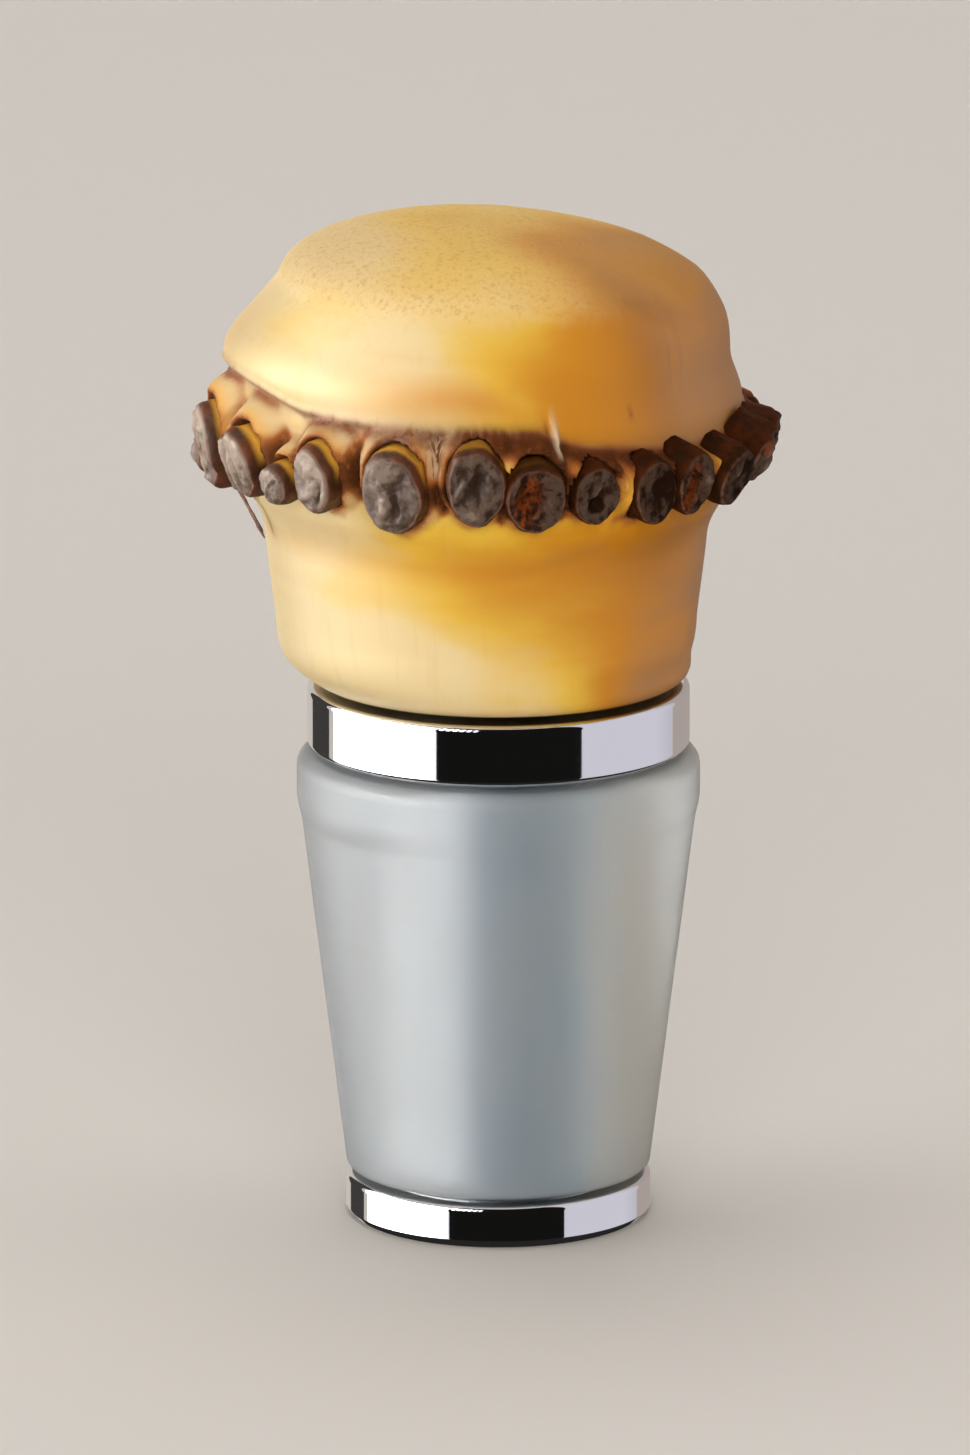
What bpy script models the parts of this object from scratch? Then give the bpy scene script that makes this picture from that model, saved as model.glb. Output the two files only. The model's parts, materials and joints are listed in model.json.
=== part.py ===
# Bottle stopper: a bamboo-root knob on a plated metal body that carries a tapered silicone sleeve.
# The origin is the centre of the foot's flat underside, +Z runs up the axis, and the front is -Y. Metres.

import math
import random

import bmesh
import bpy
from mathutils import Vector

MM = 0.001

# Gap kept all round between pieces that touch on the real stopper
CLEARANCE = 0.3 * MM

# Metal body: foot, stem and collar in one casting
FOOT_DIAMETER = 16.0 * MM
FOOT_HEIGHT = 2.3 * MM
FOOT_CHAMFER = 0.4 * MM
STEM_DIAMETER = 12.0 * MM
STEM_LENGTH = 23.0 * MM
COLLAR_DIAMETER = 20.0 * MM
COLLAR_HEIGHT = 3.3 * MM
COLLAR_CHAMFER = 0.2 * MM
DRILL_POINT_ANGLE = math.radians(118)

# Silicone sleeve
LIP_DIAMETER = 21.1 * MM
LIP_HEIGHT = 3.0 * MM
LIP_EDGE_RADIUS = 0.8 * MM
SLEEVE_TOP_DIAMETER = 20.6 * MM
SLEEVE_BOTTOM_DIAMETER = 15.9 * MM
SLEEVE_BOTTOM_RADIUS = 0.4 * MM

# Double-ended stud
STUD_DIAMETER = 6.0 * MM
STUD_IN_BODY = 12.0 * MM
STUD_IN_KNOB = 13.0 * MM
STUD_CHAMFER = 0.6 * MM
STUD_END_ROOM = 1.0 * MM

# Knob: heights are stacked from its seat on the collar upwards
SEAT_DIAMETER = 18.4 * MM
HEEL_HEIGHT = 3.4 * MM
HEEL_DIAMETER = 22.0 * MM
WAIST_HEIGHT = 4.0 * MM
WAIST_DIAMETER = 23.0 * MM
FLARE_HEIGHT = 2.6 * MM
BAND_BASE_DIAMETER = 24.8 * MM
ROOT_BAND_HEIGHT = 5.5 * MM
ROOT_BAND_DIAMETER = 26.6 * MM
CROWN_HEIGHT = 5.8 * MM
CROWN_DIAMETER = 26.7 * MM
SHOULDER_DIAMETER = 22.6 * MM
DOME_RISE = 3.2 * MM
DOME_EDGE_ANGLE = math.radians(10)

# The root isn't quite straight or round: it leans to the left, its node is tilted and it is a little shallow
KNOB_LEAN = 0.65 * MM
CROWN_LEAN = 0.35 * MM
SHOULDER_LEAN_BACK = 0.6 * MM
DOME_LEAN = 1.65 * MM
NODE_TILT = math.radians(1.9)
DEPTH_TO_WIDTH = 0.98

# The sheath scar: a thin ridge round the root, high on the left, that steps down at the sheath's free edge
SCAR_HEIGHT = 0.7 * MM
SCAR_STAND = 0.25 * MM
SCAR_STEP = 0.9 * MM
# Bearing in degrees, then the ridge's rise from the node in steps of the scar
SCAR_LINE = (
    (-90, 1.60),
    (-72, 1.70),
    (-58, 1.35),
    (-45, 0.65),
    (-28, 0.55),
    (12, 0.60),
    (19, -0.20),
    (38, -0.78),
    (53, -1.00),
    (78, -0.75),
    (100, -0.40),
    (180, 0.00),
    (230, 0.70),
    (270, 1.60),
)
SPUR_BEARING = 15.5
SPUR_WIDTH = 0.55 * MM
SPUR_HEIGHT = 2.2 * MM

# Trimmed root stubs
ROOT_LINE_DROP = 2.2 * MM
STUB_REACH = 1.8 * MM
STUB_ROOTING = 2.4 * MM
STUB_FLARE = 1.28
STUB_RIM = 0.25 * MM
STUB_PIT_DEPTH = 0.4 * MM

# Bearing in degrees from the front, positive to the right, then rise from the root line, width and height
# in stub units, and droop in degrees
STUB_UNIT = 1.0 * MM
FRONT_STUBS = (
    (-111, -2.3, 2.4, 2.8, 6),
    (-97, -1.6, 2.6, 3.2, 6),
    (-77, -0.5, 3.2, 4.6, 4),
    (-60, -0.6, 3.3, 3.7, 8),
    (-47, -1.1, 1.8, 2.2, 10),
    (-37, -0.4, 2.5, 3.6, 8),
    (-19, -0.5, 3.3, 4.5, 8),
    (-2, 0.1, 3.1, 4.1, 6),
    (10, -0.5, 3.1, 3.8, 10),
    (22.5, -0.4, 2.6, 3.1, 8),
    (36, -0.5, 2.7, 3.6, 8),
    (46.5, -0.4, 2.3, 3.7, 14),
    (60, -0.7, 3.2, 3.3, 20),
    (73, -0.2, 3.2, 3.3, 26),
    (85, 0.15, 2.8, 2.8, 14),
    (101, -0.6, 2.6, 2.8, 14),
)
BACK_STUB_COUNT = 10
BACK_STUB_FIRST = 115
BACK_STUB_LAST = 236
BACK_STUB_RISE = -0.7
BACK_STUB_WIDTH = 2.9
BACK_STUB_HEIGHT = 3.7
BACK_STUB_DROOP = 14
BACK_STUB_SPREAD = 0.18
BACK_STUB_SEED = 4

# Fineness
TURN_SEGMENTS = 64
STUD_SEGMENTS = 24
STUB_SIDES = 12
ARC_STEPS = 5
FLARE_STEPS = 3
CROWN_STEPS = 6
DOME_STEPS = 7
SMOOTH_EDGE_ANGLE = math.radians(32)
MERGE_DISTANCE = 0.001 * MM

# Levels that follow from the sizes
FOOT_TOP = FOOT_HEIGHT
COLLAR_BASE = FOOT_TOP + STEM_LENGTH
COLLAR_TOP = COLLAR_BASE + COLLAR_HEIGHT
SEAT_LEVEL = COLLAR_TOP + CLEARANCE
HEEL_LEVEL = SEAT_LEVEL + HEEL_HEIGHT
WAIST_LEVEL = HEEL_LEVEL + WAIST_HEIGHT
BAND_LEVEL = WAIST_LEVEL + FLARE_HEIGHT
NODE_LEVEL = BAND_LEVEL + ROOT_BAND_HEIGHT
SHOULDER_LEVEL = NODE_LEVEL + CROWN_HEIGHT
KNOB_TOP = SHOULDER_LEVEL + DOME_RISE
ROOT_LINE = NODE_LEVEL - ROOT_LINE_DROP


def clear_scene():
    for obj in list(bpy.data.objects):
        bpy.data.objects.remove(obj)


def make_material(name, colour, metallic, roughness, transmission=0.0):
    material = bpy.data.materials.new(name)
    material.use_nodes = True
    shader = material.node_tree.nodes["Principled BSDF"]
    shader.inputs["Base Color"].default_value = (*colour, 1.0)
    shader.inputs["Metallic"].default_value = metallic
    shader.inputs["Roughness"].default_value = roughness
    shader.inputs["Transmission Weight"].default_value = transmission
    return material


def link_mesh(name, bm, material=None):
    bmesh.ops.recalc_face_normals(bm, faces=bm.faces)
    mesh = bpy.data.meshes.new(name)
    bm.to_mesh(mesh)
    bm.free()
    mesh.shade_smooth()
    mesh.set_sharp_from_angle(angle=SMOOTH_EDGE_ANGLE)
    if material:
        mesh.materials.append(material)
    obj = bpy.data.objects.new(name, mesh)
    bpy.context.scene.collection.objects.link(obj)
    return obj


def arc(centre_radius, centre_level, size, start, end, steps=ARC_STEPS):
    # Points of an arc in the (radius, level) plane, with angles in degrees from the outward direction
    angles = [math.radians(start + (end - start) * i / steps) for i in range(steps + 1)]
    return [(centre_radius + size * math.cos(a), centre_level + size * math.sin(a)) for a in angles]


def turned(name, outline, segments, material, closed=False):
    # A lathe: the outline's (radius, level) points are spun a full turn about Z
    bm = bmesh.new()
    verts = [bm.verts.new((radius, 0.0, level)) for radius, level in outline]
    edges = [bm.edges.new(pair) for pair in zip(verts, verts[1:])]
    if closed:
        edges.append(bm.edges.new((verts[-1], verts[0])))
    bmesh.ops.spin(
        bm,
        geom=verts + edges,
        cent=(0, 0, 0),
        axis=(0, 0, 1),
        angle=math.tau,
        steps=segments,
        use_merge=True,
    )
    bmesh.ops.remove_doubles(bm, verts=bm.verts, dist=MERGE_DISTANCE)
    return link_mesh(name, bm, material)


def drill_point(radius):
    return radius / math.tan(DRILL_POINT_ANGLE / 2)


def stopper_body(material):
    foot, stem, collar = FOOT_DIAMETER / 2, STEM_DIAMETER / 2, COLLAR_DIAMETER / 2
    hole = STUD_DIAMETER / 2 + CLEARANCE
    hole_floor = COLLAR_TOP - STUD_IN_BODY - STUD_END_ROOM
    edge = COLLAR_CHAMFER
    outline = [
        (0.0, 0.0),
        (foot - FOOT_CHAMFER, 0.0),
        (foot, FOOT_CHAMFER),
        (foot, FOOT_TOP - edge),
        (foot - edge, FOOT_TOP),
        (stem, FOOT_TOP),
        (stem, COLLAR_BASE),
        (collar - edge, COLLAR_BASE),
        (collar, COLLAR_BASE + edge),
        (collar, COLLAR_TOP - edge),
        (collar - edge, COLLAR_TOP),
        (hole + STUD_CHAMFER, COLLAR_TOP),
        (hole, COLLAR_TOP - STUD_CHAMFER),
        (hole, hole_floor),
        (0.0, hole_floor - drill_point(hole)),
    ]
    return turned("stopper_body", outline, TURN_SEGMENTS, material)


def silicone_sleeve(material):
    bore = STEM_DIAMETER / 2 + CLEARANCE
    low, high = FOOT_TOP + CLEARANCE, COLLAR_BASE - CLEARANCE
    bottom, top, lip = SLEEVE_BOTTOM_DIAMETER / 2, SLEEVE_TOP_DIAMETER / 2, LIP_DIAMETER / 2
    lip_base = high - LIP_HEIGHT
    step = lip - top
    outline = [(bore, low)]
    outline += arc(bottom - SLEEVE_BOTTOM_RADIUS, low + SLEEVE_BOTTOM_RADIUS, SLEEVE_BOTTOM_RADIUS, -90, 0, 3)
    outline += [(top, lip_base - step), (lip, lip_base + step)]
    outline += arc(lip - LIP_EDGE_RADIUS, high - LIP_EDGE_RADIUS, LIP_EDGE_RADIUS, 0, 90)
    outline += [(bore, high)]
    return turned("silicone_sleeve", outline, TURN_SEGMENTS, material, closed=True)


def threaded_stud(material):
    radius = STUD_DIAMETER / 2
    low, high = COLLAR_TOP - STUD_IN_BODY, SEAT_LEVEL + STUD_IN_KNOB
    outline = [
        (0.0, low),
        (radius - STUD_CHAMFER, low),
        (radius, low + STUD_CHAMFER),
        (radius, high - 2 * STUD_CHAMFER),
        (radius - STUD_CHAMFER, high),
        (0.0, high),
    ]
    return turned("threaded_stud", outline, STUD_SEGMENTS, material)


def smooth_step(share):
    share = min(1.0, max(0.0, share))
    return share * share * (3 - 2 * share)


def lean_at(level):
    # How far the root's middle has moved to the left of the stopper's axis at this level
    body = KNOB_LEAN * smooth_step((level - SEAT_LEVEL) / (0.5 * HEEL_HEIGHT))
    crown_share = (level - NODE_LEVEL) / CROWN_HEIGHT
    crown = CROWN_LEAN * smooth_step(crown_share / 0.4)
    back = SHOULDER_LEAN_BACK * smooth_step((crown_share - 0.25) / 0.5)
    dome_share = max(0.0, (level - SHOULDER_LEVEL) / DOME_RISE)
    return body + crown - back + DOME_LEAN * dome_share


def tilt_at(level):
    # The node's tilt, which dies away towards the seat and the shoulder
    below = smooth_step((level - HEEL_LEVEL) / (NODE_LEVEL - HEEL_LEVEL))
    above = 1 - smooth_step((level - NODE_LEVEL) / CROWN_HEIGHT)
    return NODE_TILT * below * above


def knob_point(bearing, radius, level):
    # A point of the root at a bearing from the front, at this radius from the root's own middle
    x = radius * math.sin(bearing)
    y = -radius * DEPTH_TO_WIDTH * math.cos(bearing)
    return Vector((x - lean_at(level), y, level - x * math.tan(tilt_at(level))))


def scar_rise(bearing):
    # The ridge's height over the node's level, between the bearings of the scar's line
    turn = (math.degrees(bearing) - SCAR_LINE[0][0]) % 360 + SCAR_LINE[0][0]
    for (first, low), (last, high) in zip(SCAR_LINE, SCAR_LINE[1:]):
        if turn <= last:
            return SCAR_STEP * (low + (high - low) * (turn - first) / (last - first))


def knob_outline():
    # The root's (radius, level) outline from its seat upwards, with how far each ring follows the scar
    seat, heel, waist = SEAT_DIAMETER / 2, HEEL_DIAMETER / 2, WAIST_DIAMETER / 2
    band_base, band = BAND_BASE_DIAMETER / 2, ROOT_BAND_DIAMETER / 2
    crown, shoulder = CROWN_DIAMETER / 2, SHOULDER_DIAMETER / 2
    outline = [(0.0, SEAT_LEVEL, 0.0)]
    for i in range(ARC_STEPS + 1):
        turn = math.pi / 2 * i / ARC_STEPS
        radius = seat + (heel - seat) * math.sin(turn)
        outline.append((radius, SEAT_LEVEL + HEEL_HEIGHT * (1 - math.cos(turn)), 0.0))
    outline.append((waist, WAIST_LEVEL, 0.0))
    for i in range(1, FLARE_STEPS + 1):
        share = i / FLARE_STEPS
        outline.append((waist + (band_base - waist) * share ** 2, WAIST_LEVEL + FLARE_HEIGHT * share, 0.0))
    outline.append((0.3 * band_base + 0.7 * band, BAND_LEVEL + ROOT_BAND_HEIGHT / 3, 0.0))
    outline.append((band, NODE_LEVEL - SCAR_HEIGHT / 2, 1.0))
    outline.append((crown + SCAR_STAND, NODE_LEVEL, 1.0))
    outline.append((crown, NODE_LEVEL + SCAR_HEIGHT / 2, 1.0))
    # The crown's side curves in towards the shoulder
    for i in range(2, CROWN_STEPS + 1):
        share = i / CROWN_STEPS
        radius = crown + (shoulder - crown) * share ** 2
        outline.append((radius, NODE_LEVEL + CROWN_HEIGHT * share, 1 - smooth_step(share)))
    # The sanded end: the top of an ellipse that starts at the shoulder
    for i in range(1, DOME_STEPS):
        turn = DOME_EDGE_ANGLE + (math.pi / 2 - DOME_EDGE_ANGLE) * i / DOME_STEPS
        rise = (math.sin(turn) - math.sin(DOME_EDGE_ANGLE)) / (1 - math.sin(DOME_EDGE_ANGLE))
        radius = shoulder * math.cos(turn) / math.cos(DOME_EDGE_ANGLE)
        outline.append((radius, SHOULDER_LEVEL + DOME_RISE * rise, 0.0))
    outline.append((0.0, KNOB_TOP, 0.0))
    return outline


def root_form():
    # The root without its stubs: one ring of points at each level of the outline, bridged to the next
    bm = bmesh.new()
    rings = []
    for radius, level, follow in knob_outline():
        if radius == 0.0:
            rings.append([bm.verts.new(knob_point(0.0, 0.0, level))])
            continue
        bearings = [math.tau * i / TURN_SEGMENTS for i in range(TURN_SEGMENTS)]
        rings.append([bm.verts.new(knob_point(b, radius, level + follow * scar_rise(b))) for b in bearings])
    for lower, upper in zip(rings, rings[1:]):
        for i in range(TURN_SEGMENTS):
            j = (i + 1) % TURN_SEGMENTS
            corners = [lower[i % len(lower)], lower[j % len(lower)], upper[j % len(upper)], upper[i % len(upper)]]
            bm.faces.new(list(dict.fromkeys(corners)))
    return bm


def root_stub(name, bearing_deg, rise, width, height, droop_deg):
    # A trimmed root: it grows out of the band in an oval flare and ends in a dished cut with a pit
    bearing, droop = math.radians(bearing_deg), math.radians(droop_deg)
    outward = Vector((math.sin(bearing), -math.cos(bearing), 0))
    across = Vector((math.cos(bearing), math.sin(bearing), 0))
    along = outward * math.cos(droop) - Vector((0, 0, math.sin(droop)))
    upright = across.cross(along).normalized()
    if upright.z < 0:
        upright.negate()
    cut_centre = knob_point(bearing, ROOT_BAND_DIAMETER / 2, ROOT_LINE + rise * STUB_UNIT) + outward * STUB_REACH
    sections = (
        (-STUB_REACH - STUB_ROOTING, STUB_FLARE),
        (-STUB_REACH, STUB_FLARE),
        (-STUB_REACH / 2, (1 + STUB_FLARE) / 2),
        (-STUB_RIM, 1.0),
        (0.0, 0.86),
        (-STUB_PIT_DEPTH / 5, 0.5),
        (-STUB_PIT_DEPTH, 0.3),
    )
    bm = bmesh.new()
    rings = []
    for depth, share in sections:
        ring = []
        for i in range(STUB_SIDES):
            turn = math.tau * i / STUB_SIDES
            offset = across * (math.cos(turn) * width / 2) + upright * (math.sin(turn) * height / 2)
            ring.append(bm.verts.new(cut_centre + along * depth + offset * STUB_UNIT * share))
        rings.append(ring)
    for inner, outer in zip(rings, rings[1:]):
        for i in range(STUB_SIDES):
            j = (i + 1) % STUB_SIDES
            bm.faces.new((inner[i], inner[j], outer[j], outer[i]))
    bm.faces.new(rings[0])
    bm.faces.new(rings[-1])
    return link_mesh(name, bm)


def sheath_spur():
    # The sheath's free edge, where its two ends met: a thin thorn that stands up from the scar
    bearing = math.radians(SPUR_BEARING)
    crown = CROWN_DIAMETER / 2
    across = Vector((math.cos(bearing), math.sin(bearing), 0)) * SPUR_WIDTH / 2
    low, high = NODE_LEVEL - SCAR_STEP / 2 - SCAR_HEIGHT / 2, NODE_LEVEL + SPUR_HEIGHT
    foot_out = knob_point(bearing, crown + 2 * SCAR_STAND, low)
    foot_in = knob_point(bearing, crown - SPUR_WIDTH, low)
    tip = knob_point(bearing, crown - SPUR_WIDTH / 2, high)
    bm = bmesh.new()
    corners = [foot_in - across, foot_in + across, foot_out + across, foot_out - across]
    foot = [bm.verts.new(corner) for corner in corners]
    point = bm.verts.new(tip)
    bm.faces.new(foot)
    for i in range(4):
        bm.faces.new((foot[i], foot[(i + 1) % 4], point))
    return link_mesh("sheath_spur_former", bm)


def back_stubs():
    # The hidden side: the same kind of stubs at a like spacing
    chance = random.Random(BACK_STUB_SEED)
    step = (BACK_STUB_LAST - BACK_STUB_FIRST) / (BACK_STUB_COUNT - 1)
    for i in range(BACK_STUB_COUNT):
        vary = [1 + BACK_STUB_SPREAD * (2 * chance.random() - 1) for _ in range(4)]
        bearing = BACK_STUB_FIRST + step * i + step * (vary[3] - 1)
        rise = BACK_STUB_RISE + 2 * (vary[2] - 1)
        yield bearing, rise, BACK_STUB_WIDTH * vary[0], BACK_STUB_HEIGHT * vary[1], BACK_STUB_DROOP * vary[2]


def former_collection(name, objects):
    # Shapes that only join or cut another one: kept out of the render, and out of the part
    collection = bpy.data.collections.new(name)
    bpy.context.scene.collection.children.link(collection)
    for obj in objects:
        bpy.context.scene.collection.objects.unlink(obj)
        collection.objects.link(obj)
        obj.hide_render = True
        obj.display_type = "WIRE"
    return collection


def combine(obj, name, operation, operand):
    modifier = obj.modifiers.new(name, "BOOLEAN")
    modifier.operation = operation
    modifier.solver = "EXACT"
    if isinstance(operand, bpy.types.Collection):
        modifier.operand_type = "COLLECTION"
        modifier.collection = operand
    else:
        modifier.object = operand
    return modifier


def bamboo_knob(material):
    knob = link_mesh("bamboo_knob", root_form(), material)
    stubs = [root_stub(f"root_stub_{i}", *stub) for i, stub in enumerate([*FRONT_STUBS, *back_stubs()])]
    combine(knob, "Root stubs", "UNION", former_collection("Root stubs", [*stubs, sheath_spur()]))
    hole = STUD_DIAMETER / 2 + CLEARANCE
    hole_end = SEAT_LEVEL + STUD_IN_KNOB + STUD_END_ROOM
    outline = [
        (0.0, COLLAR_BASE),
        (hole, COLLAR_BASE),
        (hole, hole_end),
        (0.0, hole_end + drill_point(hole)),
    ]
    drill = turned("stud_hole_former", outline, STUD_SEGMENTS, None)
    former_collection("Stud hole", [drill])
    combine(knob, "Stud hole", "DIFFERENCE", drill)
    return knob


def main():
    clear_scene()
    plated = make_material("Plated metal", (0.80, 0.80, 0.82), 1.0, 0.06)
    silicone = make_material("Frosted silicone", (0.80, 0.84, 0.85), 0.0, 0.35, 0.6)
    bamboo = make_material("Polished bamboo root", (0.78, 0.50, 0.16), 0.0, 0.3)
    steel = make_material("Bright steel", (0.62, 0.62, 0.60), 1.0, 0.3)
    stopper_body(plated)
    silicone_sleeve(silicone)
    threaded_stud(steel)
    bamboo_knob(bamboo)


main()
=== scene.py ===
import json
import math
import random

import bpy
import numpy as np
from mathutils import Matrix, Vector, noise

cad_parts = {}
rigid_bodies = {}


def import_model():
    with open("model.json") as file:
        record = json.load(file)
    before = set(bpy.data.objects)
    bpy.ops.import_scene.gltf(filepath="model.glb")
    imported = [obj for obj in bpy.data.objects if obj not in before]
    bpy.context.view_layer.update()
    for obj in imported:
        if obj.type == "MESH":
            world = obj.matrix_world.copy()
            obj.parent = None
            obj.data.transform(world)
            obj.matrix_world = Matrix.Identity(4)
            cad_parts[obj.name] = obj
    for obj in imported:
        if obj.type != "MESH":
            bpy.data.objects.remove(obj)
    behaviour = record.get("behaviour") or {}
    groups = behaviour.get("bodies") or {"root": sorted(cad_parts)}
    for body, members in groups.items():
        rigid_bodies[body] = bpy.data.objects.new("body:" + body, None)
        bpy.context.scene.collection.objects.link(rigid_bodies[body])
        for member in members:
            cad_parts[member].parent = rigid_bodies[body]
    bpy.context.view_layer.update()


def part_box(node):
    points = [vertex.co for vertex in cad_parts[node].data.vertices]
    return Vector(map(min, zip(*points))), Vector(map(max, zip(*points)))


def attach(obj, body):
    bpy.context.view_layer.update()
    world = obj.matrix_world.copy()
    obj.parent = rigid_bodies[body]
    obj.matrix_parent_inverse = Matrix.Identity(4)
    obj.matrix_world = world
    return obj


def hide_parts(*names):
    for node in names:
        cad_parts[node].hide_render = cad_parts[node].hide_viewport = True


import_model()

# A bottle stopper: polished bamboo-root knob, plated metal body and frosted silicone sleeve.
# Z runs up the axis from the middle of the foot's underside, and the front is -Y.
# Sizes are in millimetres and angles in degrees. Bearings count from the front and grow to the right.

mm = 0.001
# The cone that a drill leaves at the end of a hole
drillSlope = math.tan(math.radians(31))


def ramp(low, high, value):
    share = np.clip((value - low) / (high - low), 0.0, 1.0)
    return share * share * (3 - 2 * share)


def bump(value, width):
    return np.exp(-(value / width) ** 2)


class Graph:
    # Adds nodes to one tree. A name stands for a mask where a number goes, and for a tone where a colour goes.
    def __init__(self, tree, tones=None):
        self.tree, self.tones = tree, tones or {}

    def fill(self, node, inputs):
        for name, value in inputs.items():
            socket = node.inputs[name]
            if isinstance(value, str) and socket.type == "VALUE":
                value = self.mask(value)
            if isinstance(value, bpy.types.NodeSocket):
                self.tree.links.new(value, socket)
            elif socket.type == "RGBA":
                socket.default_value = (*self.tones.get(value, value), 1)
            else:
                socket.default_value = value

    def add(self, kind, inputs=None, **settings):
        node = self.tree.nodes.new(kind)
        for name, value in settings.items():
            setattr(node, name, value)
        self.fill(node, inputs or {})
        return node

    def out(self, kind, inputs=None, **settings):
        return self.add(kind, inputs, **settings).outputs[0]

    def math(self, operation, first, second=0.0):
        return self.out("ShaderNodeMath", {0: first, 1: second}, operation=operation)

    def plus(self, first, second):
        return self.math("ADD", first, second)

    def minus(self, first, second):
        return self.math("SUBTRACT", first, second)

    def times(self, first, second):
        return self.math("MULTIPLY", first, second)

    def remap(self, value, low, high, toLow=0.0, toHigh=1.0, curve="SMOOTHSTEP"):
        return self.out("ShaderNodeMapRange", {"Value": value, "From Min": low, "From Max": high, "To Min": toLow,
                                               "To Max": toHigh}, interpolation_type=curve)

    def mix(self, factor, first, second, mode="MIX"):
        # The colour sockets of a Mix node are its inputs 6 and 7 and its output 2
        return self.add("ShaderNodeMix", {0: factor, 6: first, 7: second}, data_type="RGBA", blend_type=mode,
                        clamp_factor=True).outputs[2]

    def layer(self, colour, *layers):
        for factor, tone in layers:
            colour = self.mix(factor, colour, tone)
        return colour

    def mask(self, name):
        return self.add("ShaderNodeAttribute", attribute_name=name).outputs["Fac"]

    def place(self):
        return self.add("ShaderNodeTexCoord").outputs["Object"]

    def field(self, scale, stretch=(1, 1, 1), detail=3.0, roughness=0.55):
        mapped = self.out("ShaderNodeMapping", {"Vector": self.place(), "Scale": stretch})
        return self.add("ShaderNodeTexNoise", {"Vector": mapped, "Scale": scale, "Detail": detail,
                                               "Roughness": roughness}).outputs["Fac"]

    def relief(self, height, strength, distance):
        return self.out("ShaderNodeBump", {"Strength": strength, "Distance": distance, "Height": height})

    def rays(self, *kinds):
        # 1 for a ray of any of these kinds
        path, found = self.add("ShaderNodeLightPath"), None
        for kind in kinds:
            ray = path.outputs["Is %s Ray" % kind]
            found = ray if found is None else self.math("MAXIMUM", found, ray)
        return found


def startMaterial(name, tones=None):
    material = bpy.data.materials.new(name)
    material.use_nodes = True
    return material, Graph(material.node_tree, tones), material.node_tree.nodes["Principled BSDF"]


def startGroup(name, inputs):
    tree = bpy.data.node_groups.new(name, "GeometryNodeTree")
    for key, kind in inputs:
        tree.interface.new_socket(key, in_out="INPUT", socket_type="NodeSocket" + kind)
    tree.interface.new_socket("Geometry", in_out="OUTPUT", socket_type="NodeSocketGeometry")
    graph = Graph(tree)
    return graph, graph.add("NodeGroupInput").outputs


def endGroup(graph, geometry, finish):
    done = graph.out("GeometryNodeSetMaterial", {"Geometry": geometry, "Material": finish})
    graph.add("NodeGroupOutput", {"Geometry": done})
    return graph.tree


def makeMesh(name, verts, faces=()):
    mesh = bpy.data.meshes.new(name)
    mesh.from_pydata(verts, [], faces)
    return mesh


def setValues(mesh, name, values, kind="FLOAT"):
    key = "vector" if kind == "FLOAT_VECTOR" else "value"
    mesh.attributes.new(name, kind, "POINT").data.foreach_set(key, values)


def ringFaces(rings, count, first=0):
    # Quads between closed rings of as many points, counted from the point named first
    return [(low + i, low + (i + 1) % count, low + count + (i + 1) % count, low + count + i)
            for low in range(first, first + (rings - 1) * count, count) for i in range(count)]


def onCircle(radius, turn, level):
    return radius * math.sin(turn), -radius * math.cos(turn), level


def makeObject(name, mesh):
    obj = bpy.data.objects.new(name, mesh)
    bpy.context.scene.collection.objects.link(obj)
    return obj


# Camera: the photograph's bearing and height, a long lens, and the stopper large in the frame
cameraSetup = {
    "distance": 900.0,
    "elevation": 14.0,
    "lookAt": (-0.7, 0.0, 26.1),
    "frameHeight": 76.08,
    "sensor": 36.0,
}


def addCamera(setup):
    rise = math.radians(setup["elevation"])
    back = Vector((0, -math.cos(rise), math.sin(rise)))
    data = bpy.data.cameras.new("studioCamera")
    data.sensor_width = setup["sensor"]
    data.lens = setup["sensor"] * setup["distance"] / setup["frameHeight"]
    camera = makeObject("studioCamera", data)
    camera.location = (Vector(setup["lookAt"]) + back * setup["distance"]) * mm
    camera.rotation_euler = (math.radians(90) - rise, 0, 0)
    bpy.context.scene.camera = camera
    print("camera set")


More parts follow.
